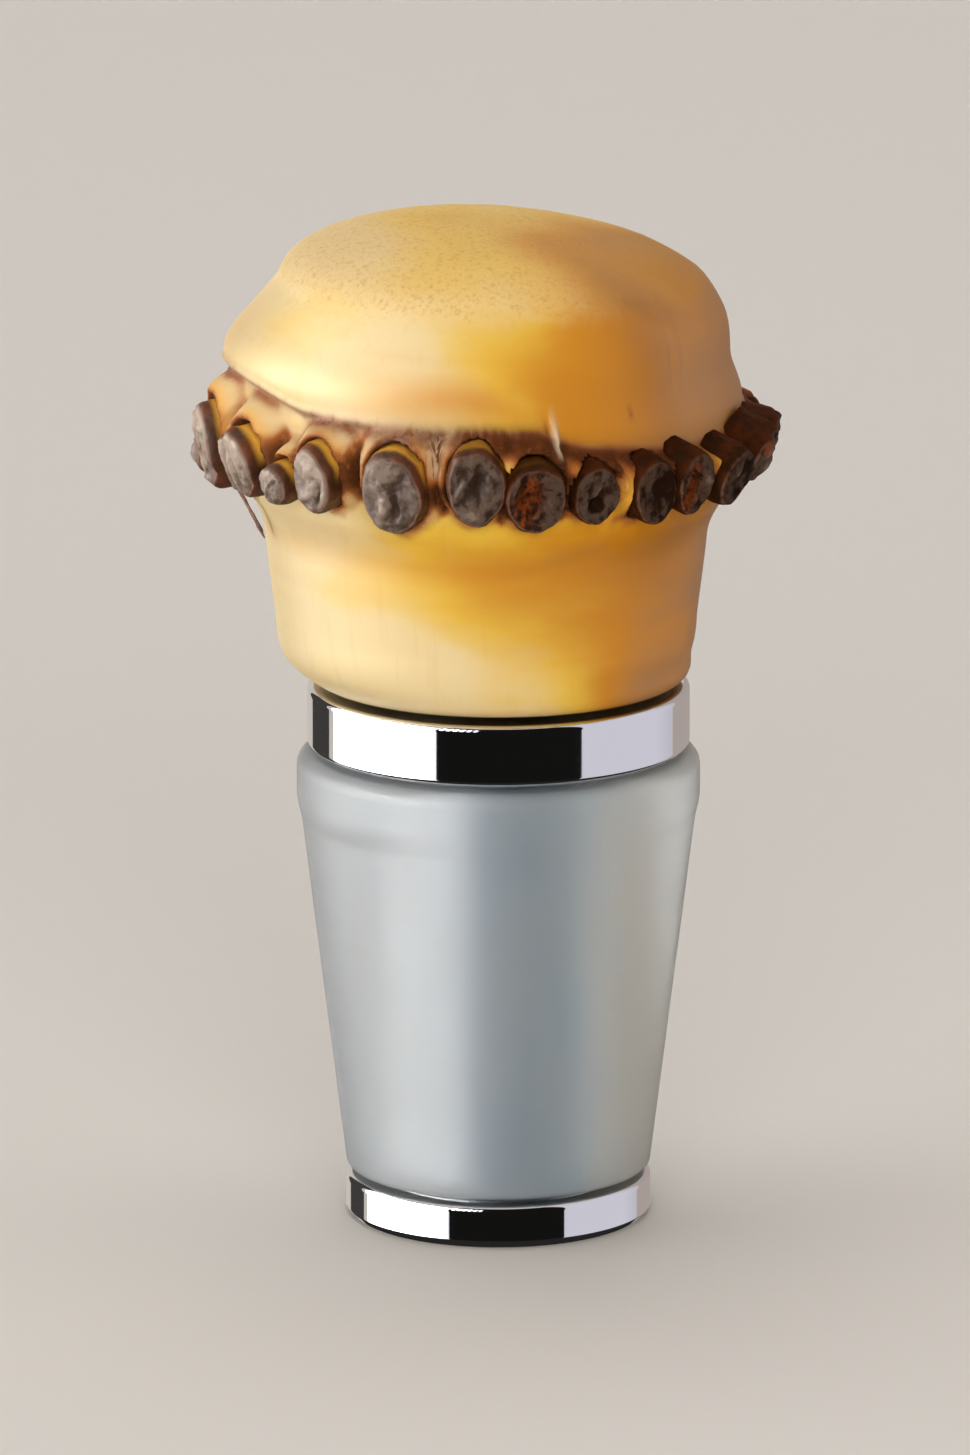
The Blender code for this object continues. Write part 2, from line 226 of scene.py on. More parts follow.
# Studio: a pale floor, soft lamps, and cards that only reflections see
studio = {
    "floorNear": (0.745, 0.712, 0.672),
    "floorFar": (0.775, 0.738, 0.70),
    "floorLift": (0.045, 0.034, 0.025),
    "floorBlend": (0.02, 0.34),
    "floorRadius": 2600.0,
    "backdropColour": (0.60, 0.55, 0.50),
    "worldColour": (0.80, 0.77, 0.74),
    "worldStrength": 0.36,
    # name, bearing, elevation, distance, width, height, watts, colour
    "lamps": (
        ("windowLamp", -84, 16, 850, 700, 560, 1.6, (1.0, 0.985, 0.965)),
        ("frontLamp", 2, 14, 850, 600, 500, 4.9, (1.0, 0.985, 0.97)),
        ("fillLamp", 95, 24, 800, 560, 480, 0.6, (1.0, 0.97, 0.94)),
        ("skyLamp", 195, 70, 900, 700, 700, 2.6, (1.0, 1.0, 1.0)),
    ),
    # name, colour, bearings with the card's strength at each, levels with a factor at each
    "cards": (
        ("brightCard", (0.95, 0.975, 1.0), ((-117.5, 11), (-100, 27), (-84, 34), (-62, 29), (-48, 13), (-37.5, 3)),
         ((-270, 0.25), (-60, 0.4), (120, 0.55), (460, 0.7))),
        ("crownCard", (0.96, 0.98, 1.0), ((-37, 10), (-26, 9), (-12, 2)), ((110, 0.6), (460, 1.0))),
        ("darkCard", (1.0, 0.97, 0.9), ((-37.5, 0.007), (51, 0.007)), ((-420, 1), (1000, 1))),
        ("lilacCard", (0.92, 0.90, 1.0), ((51, 0.72), (110, 0.72), (129, 0.6)), ((-270, 1), (640, 1))),
        ("duskCard", (1.0, 0.86, 0.79), ((130, 0.44), (176, 0.40)), ((-270, 1), (460, 1))),
        ("edgeCard", (1.0, 0.95, 0.9), ((209, 0.05), (237, 0.05)), ((-420, 1), (420, 1))),
    ),
    # Light that comes through the sleeve sees these in place of the others
    "throughCards": (
        ("milkCard", (1.0, 0.97, 0.945),
         ((-186, 0.8), (-150, 0.9), (-122, 5), (-92, 9), (-60, 10), (-38, 5), (-28, 1.2)), ((-1800, 1), (640, 1))),
        ("coolCard", (0.52, 0.82, 1.0), ((-28, 0.26), (0, 0.05), (60, 0.05)), ((-1800, 1), (640, 1))),
        ("warmCard", (1.0, 0.96, 0.88), ((60, 0.5), (80, 1.7), (130, 1.7)), ((-1800, 1), (640, 1))),
    ),
    "cardRadius": 620.0,
    "cardStep": 4.0,
    "underLevel": -272.0,
    "underStrength": 0.02,
    "underColour": (1.0, 0.95, 0.9),
    "underPoints": 48,
}


def addLamp(name, bearing, elevation, distance, width, height, watts, colour):
    data = bpy.data.lights.new(name, "AREA")
    data.shape = "RECTANGLE"
    data.size, data.size_y = width * mm, height * mm
    data.energy = watts
    data.color = colour
    lamp = makeObject(name, data)
    turn, rise = math.radians(bearing), math.radians(elevation)
    away = Vector((math.sin(turn) * math.cos(rise), -math.cos(turn) * math.cos(rise), math.sin(rise)))
    lamp.location = away * distance * mm + Vector((0, 0, cameraSetup["lookAt"][2] * mm))
    lamp.rotation_euler = away.to_track_quat("Z", "Y").to_euler()
    lamp.visible_camera = lamp.visible_glossy = lamp.visible_transmission = False


def glowMaterial(name, colour):
    material, graph, shader = startMaterial(name)
    graph.tree.nodes.remove(shader)
    # A card seen by way of a diffuse bounce would spot the floor
    bounces = graph.add("ShaderNodeLightPath").outputs["Diffuse Depth"]
    strength = graph.times(graph.mask("strength"), graph.math("LESS_THAN", bounces, 0.5))
    glow = graph.out("ShaderNodeEmission", {"Color": colour, "Strength": strength})
    graph.fill(graph.tree.nodes["Material Output"], {"Surface": glow})
    material.cycles.emission_sampling = "NONE"
    return material


def makeCard(name, colour, verts, faces, strengths, through):
    mesh = makeMesh(name, verts, faces)
    setValues(mesh, "strength", strengths)
    mesh.materials.append(glowMaterial(name, colour))
    card = makeObject(name, mesh)
    # Only reflections, or only light through the sleeve, see a card, so it lights nothing
    card.visible_transmission, card.visible_glossy = through, not through
    card.visible_camera = card.visible_diffuse = card.visible_shadow = False


def addCard(name, colour, stops, levels, through=False):
    first, last = stops[0][0], stops[-1][0]
    steps, radius = max(1, round((last - first) / studio["cardStep"])), studio["cardRadius"] * mm
    turns, rows = np.linspace(first, last, steps + 1), len(levels)
    strengths = np.outer(np.interp(turns, *zip(*stops)), [factor for level, factor in levels]).ravel()
    verts = [onCircle(radius, turn, level * mm) for turn in np.radians(turns) for level, factor in levels]
    faces = [(rows * i + k, rows * (i + 1) + k, rows * (i + 1) + k + 1, rows * i + k + 1)
             for i in range(steps) for k in range(rows - 1)]
    makeCard(name, colour, verts, faces, strengths, through)


def addUnderCard(setup):
    radius, level, count = setup["cardRadius"] * mm, setup["underLevel"] * mm, setup["underPoints"]
    verts = [onCircle(radius, math.tau * i / count, level) for i in range(count)]
    makeCard("underCard", setup["underColour"], verts, [range(count)], [setup["underStrength"]] * count, False)


def addFloor(setup):
    radius = setup["floorRadius"] * mm
    mesh = makeMesh("studioFloor", [(x * radius, y * radius, 0) for x, y in ((-1, -1), (1, -1), (1, 1), (-1, 1))],
                    [(0, 1, 2, 3)])
    floor = makeObject("studioFloor", mesh)
    material, graph, shader = startMaterial("paleFloor")
    # The floor pales with distance, so it reads as one even tone
    far = graph.add("ShaderNodeVectorMath", {0: graph.place()}, operation="LENGTH").outputs["Value"]
    blend = graph.remap(far, *setup["floorBlend"], curve="LINEAR")
    graph.fill(shader, {"Base Color": graph.mix(blend, setup["floorNear"], setup["floorFar"]), "Roughness": 0.9,
                        "Specular IOR Level": 0.1, "Emission Color": setup["floorLift"],
                        "Emission Strength": graph.rays("Camera")})
    # Reflections see past the floor to the cards, as they would beyond a table's edge
    clear = graph.out("ShaderNodeBsdfTransparent")
    mixed = graph.out("ShaderNodeMixShader", {0: graph.rays("Glossy", "Transmission"), 1: shader.outputs[0], 2: clear})
    graph.fill(graph.tree.nodes["Material Output"], {"Surface": mixed})
    mesh.materials.append(material)


def addWorld(setup):
    world = bpy.data.worlds.new("studioWorld")
    world.use_nodes = True
    bpy.context.scene.world = world
    graph, background = Graph(world.node_tree), world.node_tree.nodes["Background"]
    graph.fill(background, {"Color": setup["worldColour"], "Strength": setup["worldStrength"]})
    # What the camera and the reflections see of the world is the floor's own tone
    backdrop = graph.out("ShaderNodeBackground", {"Color": setup["backdropColour"], "Strength": 1.0})
    seen = graph.rays("Camera", "Glossy", "Transmission")
    mixed = graph.out("ShaderNodeMixShader", {0: seen, 1: background.outputs[0], 2: backdrop})
    graph.fill(world.node_tree.nodes["World Output"], {"Surface": mixed})


def addStudio(setup):
    addFloor(setup)
    addWorld(setup)
    for lamp in setup["lamps"]:
        addLamp(*lamp)
    for card in setup["cards"]:
        addCard(*card)
    for card in setup["throughCards"]:
        addCard(*card, through=True)
    addUnderCard(setup)
    bpy.context.scene.view_settings.view_transform = "Standard"
    print("studio set")


# Bamboo root
bambooFinish = {
    "straw": (0.80, 0.62, 0.32),
    "gold": (0.79, 0.50, 0.058),
    "amber": (0.58, 0.22, 0.008),
    # Russet is paled with grey as a painted sheen on the right edge
    "russetAndSheen": (0.40, 0.185, 0.062),
    "umber": (0.13, 0.036, 0.005),
    "peach": (0.84, 0.60, 0.33),
    "sandedTan": (0.84, 0.58, 0.25),
    # Glow is painted light in gold on the lit collar crests, bare skin and stub tops
    "glow": (0.80, 0.39, 0.045),
    # Bark, which also serves as painted shade in the creases and on shaded flanks and stub sides
    "barkAndShade": (0.046, 0.017, 0.006),
    "maroon": (0.105, 0.028, 0.008),
    "rust": (0.40, 0.125, 0.030),
    "burnt": (0.26, 0.085, 0.010),
    "mauve": (0.30, 0.165, 0.115),
    "pale": (0.62, 0.47, 0.30),
    "endDot": (0.42, 0.19, 0.05),
    "skinRoughness": 0.49,
    "sandedRoughness": 0.60,
    "skinShine": 0.42,
    "sandedShine": 0.30,
    "bandShine": 0.16,
    "darkenedAndShadedShine": 0.03,
    "cutDark": (0.028, 0.012, 0.006),
    "cutGrey": (0.115, 0.072, 0.050),
    "cutPale": (0.42, 0.32, 0.25),
    "cutRed": (0.34, 0.075, 0.016),
    "cutRoughness": 0.50,
    "cutShine": 0.40,
    # Painted shade on the stubs where the band is darker
    "darkenedAndShadedTint": (0.40, 0.34, 0.29),
    "ior": 1.54,
    "scatter": {"Subsurface Weight": 0.10, "Subsurface Radius": (1.0, 0.45, 0.15), "Subsurface Scale": 0.0006},
    "skinRelief": (0.4, 0.00014),
    "cutRelief": (0.4, 0.00016),
}


def bambooSkin(finish):
    material, graph, shader = startMaterial("bambooSkin", finish)
    mix, remap, times, plus, field = graph.mix, graph.remap, graph.times, graph.plus, graph.field
    # Straw to gold to amber to russet as the root has ripened, broken up by soft clouds, and darker and redder towards
    # the right of the front; the russet is paled with grey as a painted sheen on the right edge
    clouds = field(120, (1, 1, 2.2), 3)
    ripenessAndSheen = plus("ripenessAndSheen", remap(clouds, 0.3, 0.7, -0.10, 0.10))
    smears = remap(field(420, (0.12, 0.12, 1), 3), 0.45, 0.75)
    fibres = remap(field(1700, (1, 1, 0.035), 2), 0.5, 0.8)
    colour = graph.layer("straw", (remap(ripenessAndSheen, 0.0, 0.45), "gold"), (remap(ripenessAndSheen, 0.35, 0.85), "amber"),
                         (remap(ripenessAndSheen, 0.75, 1.15), "russetAndSheen"), (times(smears, 0.20), "amber"),
                         (times(fibres, 0.10), "amber"), ("stainAndShade", "amber"), ("deepStainAndShade", "burnt"),
                         (remap("deepStainAndShade", 0.5, 0.9), "umber"))
    # The sanded end is duller, with fine fibre ends showing
    sanded = graph.mask("sanded")
    ends = field(3400, (1, 1, 0.6), 3, 0.7)
    dull = graph.layer(colour, (remap(ripenessAndSheen, 0.4, 1.1, 0.42, 0.12), "sandedTan"),
                       (remap(ends, 0.48, 0.72, 0.0, 0.38), "endDot"))
    # The root band: peach skin that turns umber, and a mauve scar that turns maroon, where the band is darker, partly
    # as painted shade; gold painted light on the collar crests and bare skin; and bark with painted shade in the
    # grooves, creases, hollows and lower and right-hand flanks, which fades into the skin by way of rust
    mottle = field(2300, (1, 1, 0.7), 4, 0.6)
    darkenedAndShaded = graph.mask("darkenedAndShaded")
    stripes = remap(field(4200, (1, 1, 0.04), 1), 0.42, 0.55)
    barkAndShade = times("creviceBarkAndShade", remap(mottle, 0.3, 0.5, 0.72, 1.0))
    skinBarkAndShade = mix(remap(mottle, 0.42, 0.64), "barkAndShade", "maroon")
    scarTone = graph.layer("mauve", (remap(darkenedAndShaded, 0.0, 0.6), "maroon"), (remap(mottle, 0.5, 0.7), "maroon"))
    colour = graph.layer(colour, (sanded, dull), ("band", mix(darkenedAndShaded, "peach", "umber")), ("glow", "glow"),
                         ("stripes", mix(stripes, "umber", "pale")), (remap(barkAndShade, 0.0, 0.45), "rust"),
                         (remap(barkAndShade, 0.25, 0.85), skinBarkAndShade), ("scar", scarTone), ("spur", "pale"))
    rough = remap(sanded, 0, 1, finish["skinRoughness"], finish["sandedRoughness"])
    rough = plus(plus(rough, remap(clouds, 0.3, 0.7, -0.03, 0.04)), times("rooty", 0.10))
    # Fine relief: long grain on the skin, tooth on the sanded end, knobbly bark where the bark and painted shade lie
    grain = times(field(1500, (1, 1, 0.12), 3), 0.10)
    tooth = times(ends, times(sanded, 0.9))
    knobbly = times(mottle, times(barkAndShade, 1.3))
    relief = graph.relief(plus(plus(grain, tooth), knobbly), *finish["skinRelief"])
    shine = remap(sanded, 0, 1, finish["skinShine"], finish["sandedShine"])
    banded = remap(darkenedAndShaded, 0, 1, finish["bandShine"], finish["darkenedAndShadedShine"])
    shine = graph.out("ShaderNodeMix", {"Factor": "rooty", "A": shine, "B": banded}, data_type="FLOAT")
    graph.fill(shader, {"Base Color": colour, "Roughness": rough, "Normal": relief, "Specular IOR Level": shine,
                        "IOR": finish["ior"], **finish["scatter"]})
    return material


def trimmedRoot(finish):
    material, graph, shader = startMaterial("trimmedRoot", finish)
    mix, remap, times, field = graph.mix, graph.remap, graph.times, graph.field
    cut, darkenedAndShaded = graph.mask("cut"), graph.mask("darkenedAndShaded")
    grain = field(2600, (1, 1, 0.75), 4, 0.6)
    # The bark round a stub: painted light in gold on its top where the band isn't darker, and elsewhere maroon and bark
    # that are partly painted shade
    lit = times(times("upper", graph.minus(1.0, darkenedAndShaded)), remap("reach", 0.66, 0.36))
    side = mix(lit, mix(remap(field(900, (1, 1, 1), 2), 0.35, 0.65), "maroon", "barkAndShade"), "glow")
    # The cut is darkened in its hollows as painted shade, and grey to pale where it stands high
    high = graph.plus(times("lift", 0.7), times(grain, 0.5))
    bleached = mix(remap(high, 0.44, 0.72), "cutGrey", "cutPale")
    face = graph.layer("cutDark", (remap(high, 0.52, 0.68), "cutGrey"), (remap(high, 0.72, 0.90, 0.0, 0.7), "cutPale"),
                       ("pale", bleached), (times("warm", remap(grain, 0.35, 0.6)), "cutRed"))
    # A paler lip runs round the cut
    lip = times(remap(cut, 0.05, 0.35), remap(cut, 0.9, 0.5))
    lip = times(times(lip, remap(grain, 0.35, 0.55, 0.2, 0.8)), remap("upper", 0, 1, 1.0, 0.35))
    tone = mix(lip, mix(cut, side, face), "mauve")
    # Where the band is darker, partly as painted shade, its stubs are darker too, with the same painted shade, and
    # duller
    tone = mix(times(darkenedAndShaded, 0.8), tone, "darkenedAndShadedTint", "MULTIPLY")
    graph.fill(shader, {
        "Base Color": tone, "Normal": graph.relief(grain, *finish["cutRelief"]),
        "Roughness": remap(grain, 0.3, 0.7, finish["cutRoughness"] - 0.08, finish["cutRoughness"] + 0.2),
        "Specular IOR Level": remap(darkenedAndShaded, 0, 1, finish["cutShine"], finish["darkenedAndShadedShine"])})
    return material


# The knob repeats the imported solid's sizes; what the frame holds is read from it
knobLow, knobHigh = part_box("bamboo_knob")
studLow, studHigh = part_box("threaded_stud")
knob = {
    "seatLevel": knobLow.z / mm,
    "seatDiameter": 18.4,
    "heelHeight": 3.4,
    "heelDiameter": 22.0,
    "waistHeight": 4.0,
    "waistDiameter": 23.0,
    "flareHeight": 2.6,
    "bandBaseDiameter": 24.8,
    "bandHeight": 5.5,
    "bandDiameter": 26.6,
    "crownHeight": 5.8,
    "crownDiameter": 26.7,
    "shoulderDiameter": 22.6,
    "domeRise": 3.2,
    "domeEdge": 10.0,
    "lean": 0.65,
    "crownLean": 0.35,
    "shoulderLeanBack": 0.6,
    "domeLean": 1.65,
    "nodeTilt": 1.9,
    "depthToWidth": 0.98,
    "spurBearing": 15.5,
    "spurHeight": 2.0,
    "rootLineDrop": 2.2,
    "holeDiameter": 6.6,
    "holeRoom": 1.0,
    "columns": 600,
    "coarseStep": 0.32,
    "fineStep": 0.135,
    # Each stub stands in a rolled collar of skin: its height, its crest and its ends in half widths
    "collarHeight": 1.30,
    "collarFill": 0.40,
    "collarCrest": 1.16,
    "collarEnd": 1.70,
    "collarEndAbove": 1.95,
    "collarEndBelow": 1.42,
    # The sheath scar's line round the root: bearing and rise from the node's level
    "scarLine": (
        (-90, 1.44), (-72, 1.53), (-58, 1.22), (-45, 0.58), (-28, 0.50), (12, 0.54), (19, -0.18), (38, -0.70),
        (53, -0.90), (78, -0.68), (100, -0.36), (180, 0.0), (230, 0.63), (270, 1.44),
    ),
}
knob["waistLevel"] = knob["seatLevel"] + knob["heelHeight"] + knob["waistHeight"]
knob["bandLevel"] = knob["waistLevel"] + knob["flareHeight"]
knob["nodeLevel"] = knob["bandLevel"] + knob["bandHeight"]
knob["shoulderLevel"] = knob["nodeLevel"] + knob["crownHeight"]
knob["rootLine"] = knob["nodeLevel"] - knob["rootLineDrop"]

# Stubs: bearing, rise from the root line, width, height, droop, form
stubs = {
    "front": (
        (-111, -2.3, 2.4, 2.8, 6, 4),
        (-97, -1.6, 2.6, 3.2, 6, 8),
        (-77, -0.5, 3.2, 4.6, 4, 5),
        (-60, -0.6, 3.3, 3.7, 8, 5),
        (-47, -1.1, 1.8, 2.2, 10, 7),
        (-37, -0.4, 2.5, 3.6, 8, 6),
        (-19, -0.5, 3.3, 4.5, 8, 0),
        (-2, 0.1, 3.1, 4.1, 6, 1),
        (10, -0.5, 3.1, 3.8, 10, 2),
        (22.5, -0.4, 2.6, 3.1, 8, 3),
        (36, -0.5, 2.7, 3.6, 8, 4),
        (46.5, -0.4, 2.3, 3.7, 14, 2),
        (60, -0.7, 3.2, 3.3, 20, 4),
        (73, -0.2, 3.2, 3.3, 26, 8),
        (85, 0.15, 2.8, 2.8, 14, 4),
        (101, -0.6, 2.6, 2.8, 14, 1),
    ),
    "backCount": 10,
    "backFirst": 115,
    "backLast": 236,
    "backRise": -0.7,
    "backWidth": 2.9,
    "backHeight": 3.7,
    "backDroop": 14,
    "backSpread": 0.18,
    "backSeed": 4,
    "backForms": (4, 0, 8, 3, 1, 4, 2, 8, 0, 6),
    "reach": 1.8,
    "rooting": 1.6,
    "ringPoints": 56,
    "relief": 0.60,
    "grain": 850.0,
    "seed": 11,
    # A torn splinter that hangs below the band: bearing, drop from the root line, width, length, stand
    "splinter": (-74, -3.95, 0.9, 2.7, 0.22),
    "noiseSeed": 3.0,
}

# Cut forms: name, bleached share, dome, slope across, slope up, edge wobble, features, warm spots
# feature: x, z, long radius, short radius, turn, height in millimetres; x and z run from -1 to 1
# warm spot: x, z, radius
cutForms = (
    ("nubbed", 0.30, 0.22, 0.04, 0.10, 0.04,
     ((-0.22, -0.30, 0.20, 0.16, 60, 0.55), (0.10, -0.25, 0.34, 0.13, 80, -0.40),
      (0.45, 0.0, 0.7, 0.3, 85, -0.16)), ()),
    ("streaked", 0.12, 0.05, -0.08, 0.04, 0.07,
     ((-0.48, 0.02, 0.34, 0.10, 55, 0.28), (-0.12, -0.70, 0.26, 0.12, 5, 0.24), (0.10, 0.15, 0.40, 0.30, 60, -0.34),
      (0.45, 0.2, 0.3, 0.1, 100, 0.14)), ()),
    ("hollow", 0.04, -0.10, 0.10, 0.02, 0.07,
     ((-0.20, -0.05, 0.46, 0.32, 80, -0.62), (-0.75, 0.2, 0.6, 0.12, 75, 0.22), (0.0, -0.45, 0.16, 0.1, 30, 0.3),
      (0.5, 0.1, 0.3, 0.25, 90, 0.15)), ((-0.25, -0.05, 0.40), (-0.2, 0.45, 0.25), (-0.45, -0.55, 0.25))),
    ("ridged", 0.10, 0.0, 0.0, 0.0, 0.05,
     ((-0.10, 0.30, 0.42, 0.12, 60, 0.34), (-0.02, -0.28, 0.22, 0.20, 0, -0.62), (0.38, -0.3, 0.3, 0.12, 100, 0.16),
      (-0.5, -0.2, 0.35, 0.1, 95, 0.12)), ()),
    ("mottled", 0.0, 0.06, -0.05, 0.0, 0.06,
     ((0.1, 0.1, 0.5, 0.4, 60, -0.22), (-0.3, 0.45, 0.2, 0.14, 30, 0.14), (0.25, -0.45, 0.2, 0.14, 120, 0.16)), ()),
    ("bleached", 1.0, 0.0, 0.10, 0.30, 0.10,
     ((-0.45, 0.1, 0.9, 0.10, 95, 0.26), (0.05, -0.1, 0.8, 0.08, 88, 0.30), (0.40, 0.2, 0.6, 0.09, 100, 0.22),
      (-0.2, -0.3, 0.6, 0.12, 90, -0.24), (0.62, -0.5, 0.3, 0.2, 80, -0.3)), ()),
    ("greyed", 0.72, 0.10, 0.18, 0.16, 0.07,
     ((-0.05, 0.35, 0.42, 0.32, 85, 0.16), (0.45, -0.35, 0.5, 0.14, 70, -0.28), (-0.35, -0.5, 0.4, 0.12, 20, 0.2)), ()),
    ("bud", 0.62, 0.34, 0.0, 0.0, 0.05, ((0.1, 0.2, 0.5, 0.1, 50, 0.12),), ()),
    ("snapped", 0.16, 0.0, 0.0, 0.0, 0.09,
     ((-0.45, 0.40, 0.55, 0.22, 100, 0.34), (0.40, -0.20, 0.50, 0.20, 75, 0.38), (-0.10, -0.5, 0.3, 0.2, 20, -0.34),
      (0.15, 0.55, 0.24, 0.2, 20, -0.26)), ((-0.6, 0.5, 0.3),)),
)


def allStubs():
    chance = random.Random(stubs["backSeed"])
    step = (stubs["backLast"] - stubs["backFirst"]) / (stubs["backCount"] - 1)
    found = list(stubs["front"])
    for i in range(stubs["backCount"]):
        vary = [1 + stubs["backSpread"] * (2 * chance.random() - 1) for draw in range(4)]
        found.append((stubs["backFirst"] + step * i + step * (vary[3] - 1), stubs["backRise"] + 2 * (vary[2] - 1),
                      stubs["backWidth"] * vary[0], stubs["backHeight"] * vary[1],
                      stubs["backDroop"] * vary[2], stubs["backForms"][i]))
    return found


def leanAt(level):
    body = knob["lean"] * ramp(0, 0.5 * knob["heelHeight"], level - knob["seatLevel"])
    above = (level - knob["nodeLevel"]) / knob["crownHeight"]
    crown = knob["crownLean"] * ramp(0, 0.4, above)
    back = knob["shoulderLeanBack"] * ramp(0.25, 0.75, above)
    return body + crown - back + knob["domeLean"] * np.clip((level - knob["shoulderLevel"]) / knob["domeRise"], 0, 1)


def tiltAt(level):
    heel = knob["seatLevel"] + knob["heelHeight"]
    below = ramp(heel, knob["nodeLevel"], level)
    above = 1 - ramp(knob["nodeLevel"], knob["shoulderLevel"], level)
    return math.radians(knob["nodeTilt"]) * below * above


def knobPoint(bearing, radius, level):
    x = radius * np.sin(bearing)
    y = -radius * knob["depthToWidth"] * np.cos(bearing)
    return x - leanAt(level), y, level - x * np.tan(tiltAt(level))


def scarRise(bearing):
    bearings, rises = zip(*knob["scarLine"])
    return np.interp((np.degrees(bearing) + 90) % 360 - 90, bearings, rises)


def softened(line, reach):
    # A running mean that leaves the ends alone
    out = line.copy()
    out[reach:-reach] = np.convolve(line, np.ones(2 * reach + 1) / (2 * reach + 1), "valid")
    return out


def knobOutline():
    # A dense outline of the root from the seat to the top, softened, then taken in small and large steps
    seat, heel, waist = (knob[k] / 2 for k in ("seatDiameter", "heelDiameter", "waistDiameter"))
    base, band, crown = (knob[k] / 2 for k in ("bandBaseDiameter", "bandDiameter", "crownDiameter"))
    shoulder, edge = knob["shoulderDiameter"] / 2, math.radians(knob["domeEdge"])
    heelLevel = knob["seatLevel"] + knob["heelHeight"]
    turn, share = np.linspace(0, math.pi / 2, 60), np.linspace(0.02, 1, 80)
    over = edge + (math.pi / 2 - edge) * np.linspace(0.01, 1, 120)
    domed = (np.sin(over) - math.sin(edge)) / (1 - math.sin(edge))
    radius, level = (np.concatenate(runs) for runs in zip(
        (seat + (heel - seat) * np.sin(turn), knob["seatLevel"] + knob["heelHeight"] * (1 - np.cos(turn))),
        (heel + (waist - heel) * share, heelLevel + knob["waistHeight"] * share),
        (waist + (base - waist) * share ** 2, knob["waistLevel"] + knob["flareHeight"] * share),
        (base + (band - base) * (1 - (1 - share) ** 2.2), knob["bandLevel"] + knob["bandHeight"] * share),
        (crown + (shoulder - crown) * share ** 2, knob["nodeLevel"] + knob["crownHeight"] * share),
        (shoulder * np.cos(over) / math.cos(edge), knob["shoulderLevel"] + knob["domeRise"] * domed)))
    run = np.concatenate([[0], np.cumsum(np.hypot(np.diff(radius), np.diff(level)))])
    even = np.linspace(0, run[-1], 1600)
    radius, level = np.interp(even, run, radius), np.interp(even, run, level)
    radius, level = softened(radius, 16), softened(level, 16)
    # The shoulder is rounded over by sanding
    rounder = bump(level - knob["shoulderLevel"], 1.9)
    for go in range(2):
        radius += rounder * (softened(radius, 70) - radius)
        level += rounder * (softened(level, 70) - level)
    fine = (level > knob["waistLevel"] + 0.8) & (level < knob["nodeLevel"] + 1.2)
    density = np.where(fine, 1 / knob["fineStep"], 1 / knob["coarseStep"])
    count = np.concatenate([[0], np.cumsum(np.diff(even) * density[1:])])
    at = np.interp(np.linspace(0, count[-1], int(count[-1]) + 1), count, even)
    return np.interp(at, even, radius), np.interp(at, even, level)


def blurred(field, across, along):
    # A box blur on the wrapped grid of rows and columns
    for axis, reach in ((1, across), (0, along)):
        total = np.zeros_like(field)
        for shift in range(-reach, reach + 1):
            total += np.roll(field, shift, axis)
        field = total / (2 * reach + 1)
    return field


def standingOff(turn, diameter, rise, reach):
    centre = Vector([float(c) for c in knobPoint(turn, diameter / 2, knob["rootLine"] + rise)])
    return centre + Vector(onCircle(1, turn, 0)) * reach


def stubPlace(stub):
    # Where the stub's cut lies, which way it faces, and its half sizes
    bearing, rise, width, height, droop, form = stub
    turn, drop = math.radians(bearing), math.radians(droop)
    return (standingOff(turn, knob["bandDiameter"], rise, stubs["reach"]), turn, drop, width / 2, height / 2, form)


# Stains on the skin; those at the right of the dome's edge, in the crease below it and low on the band's flare at the
# right of the front are painted shade: bearing, height above the seat, width, height, strength, deep or not
stainsAndShade = (
    (-3, 17.4, 6.0, 1.1, 0.75, False),
    (14, 18.6, 3.6, 2.4, 0.5, False),
    (27, 17.6, 3.6, 3.6, 1.0, False),
    (30, 21.0, 3.6, 1.6, 0.85, False),
    (44, 21.6, 3.0, 1.1, 0.6, True),
    (72, 22.4, 4.5, 1.5, 0.8, False),
    (74, 22.2, 3.6, 1.0, 0.35, True),
    (40, 18.6, 2.4, 4.4, 0.45, True),
    (12, 8.6, 6.0, 1.2, 0.9, False),
    (28, 8.0, 5.4, 2.4, 1.0, False),
    (44, 7.9, 3.8, 2.3, 0.48, True),
    (26, 8.9, 3.0, 0.8, 0.25, True),
    (30, 4.6, 4.0, 2.0, 0.6, False),
    (54, 6.5, 4.0, 4.0, 0.2, False),
    (-90, 18.0, 4.0, 2.4, 0.3, False),
    (120, 9.0, 6.0, 1.3, 0.7, False),
    (150, 17.5, 5.0, 1.6, 0.8, False),
    (205, 8.6, 5.0, 1.2, 0.6, False),
    (236, 18.3, 4.0, 1.8, 0.7, False),
    (176, 9.3, 2.6, 0.9, 0.45, True),
)
# Lit golden skin left between stubs: bearing, rise from the root line, width, height, strength
bareSkin = (
    (29.3, -0.6, 0.46, 1.7, 0.95), (53.5, 0.8, 0.4, 0.9, 0.8), (18, 1.2, 0.5, 0.5, 0.5), (4, 1.2, 0.5, 0.6, 0.8),
    (-25.5, -0.6, 0.14, 1.6, 0.5), (-68, 0.6, 0.5, 1.6, 0.6), (112, 0.4, 0.5, 1.4, 0.8), (163, -0.2, 0.5, 1.5, 0.8),
    (222, 0.2, 0.5, 1.3, 0.8), (250, 0.3, 0.5, 1.4, 0.7),
)


def angleFrom(bearing, centre):
    return (bearing - centre + 180) % 360 - 180


def arcFrom(bearing, centre, radius):
    return math.radians(1) * radius * angleFrom(bearing, centre)


def darkenedAndShadedAt(degrees):
    # How dark the band is: the right of the front, and two places behind. On the right of the front this is partly the
    # root's own darker colour and partly painted shade, on the side away from the window
    front = ramp(-34, 26, degrees) * ramp(128, 96, degrees)
    return front + 0.8 * bump(angleFrom(degrees, 178), 26) + 0.7 * bump(angleFrom(degrees, 240), 20)


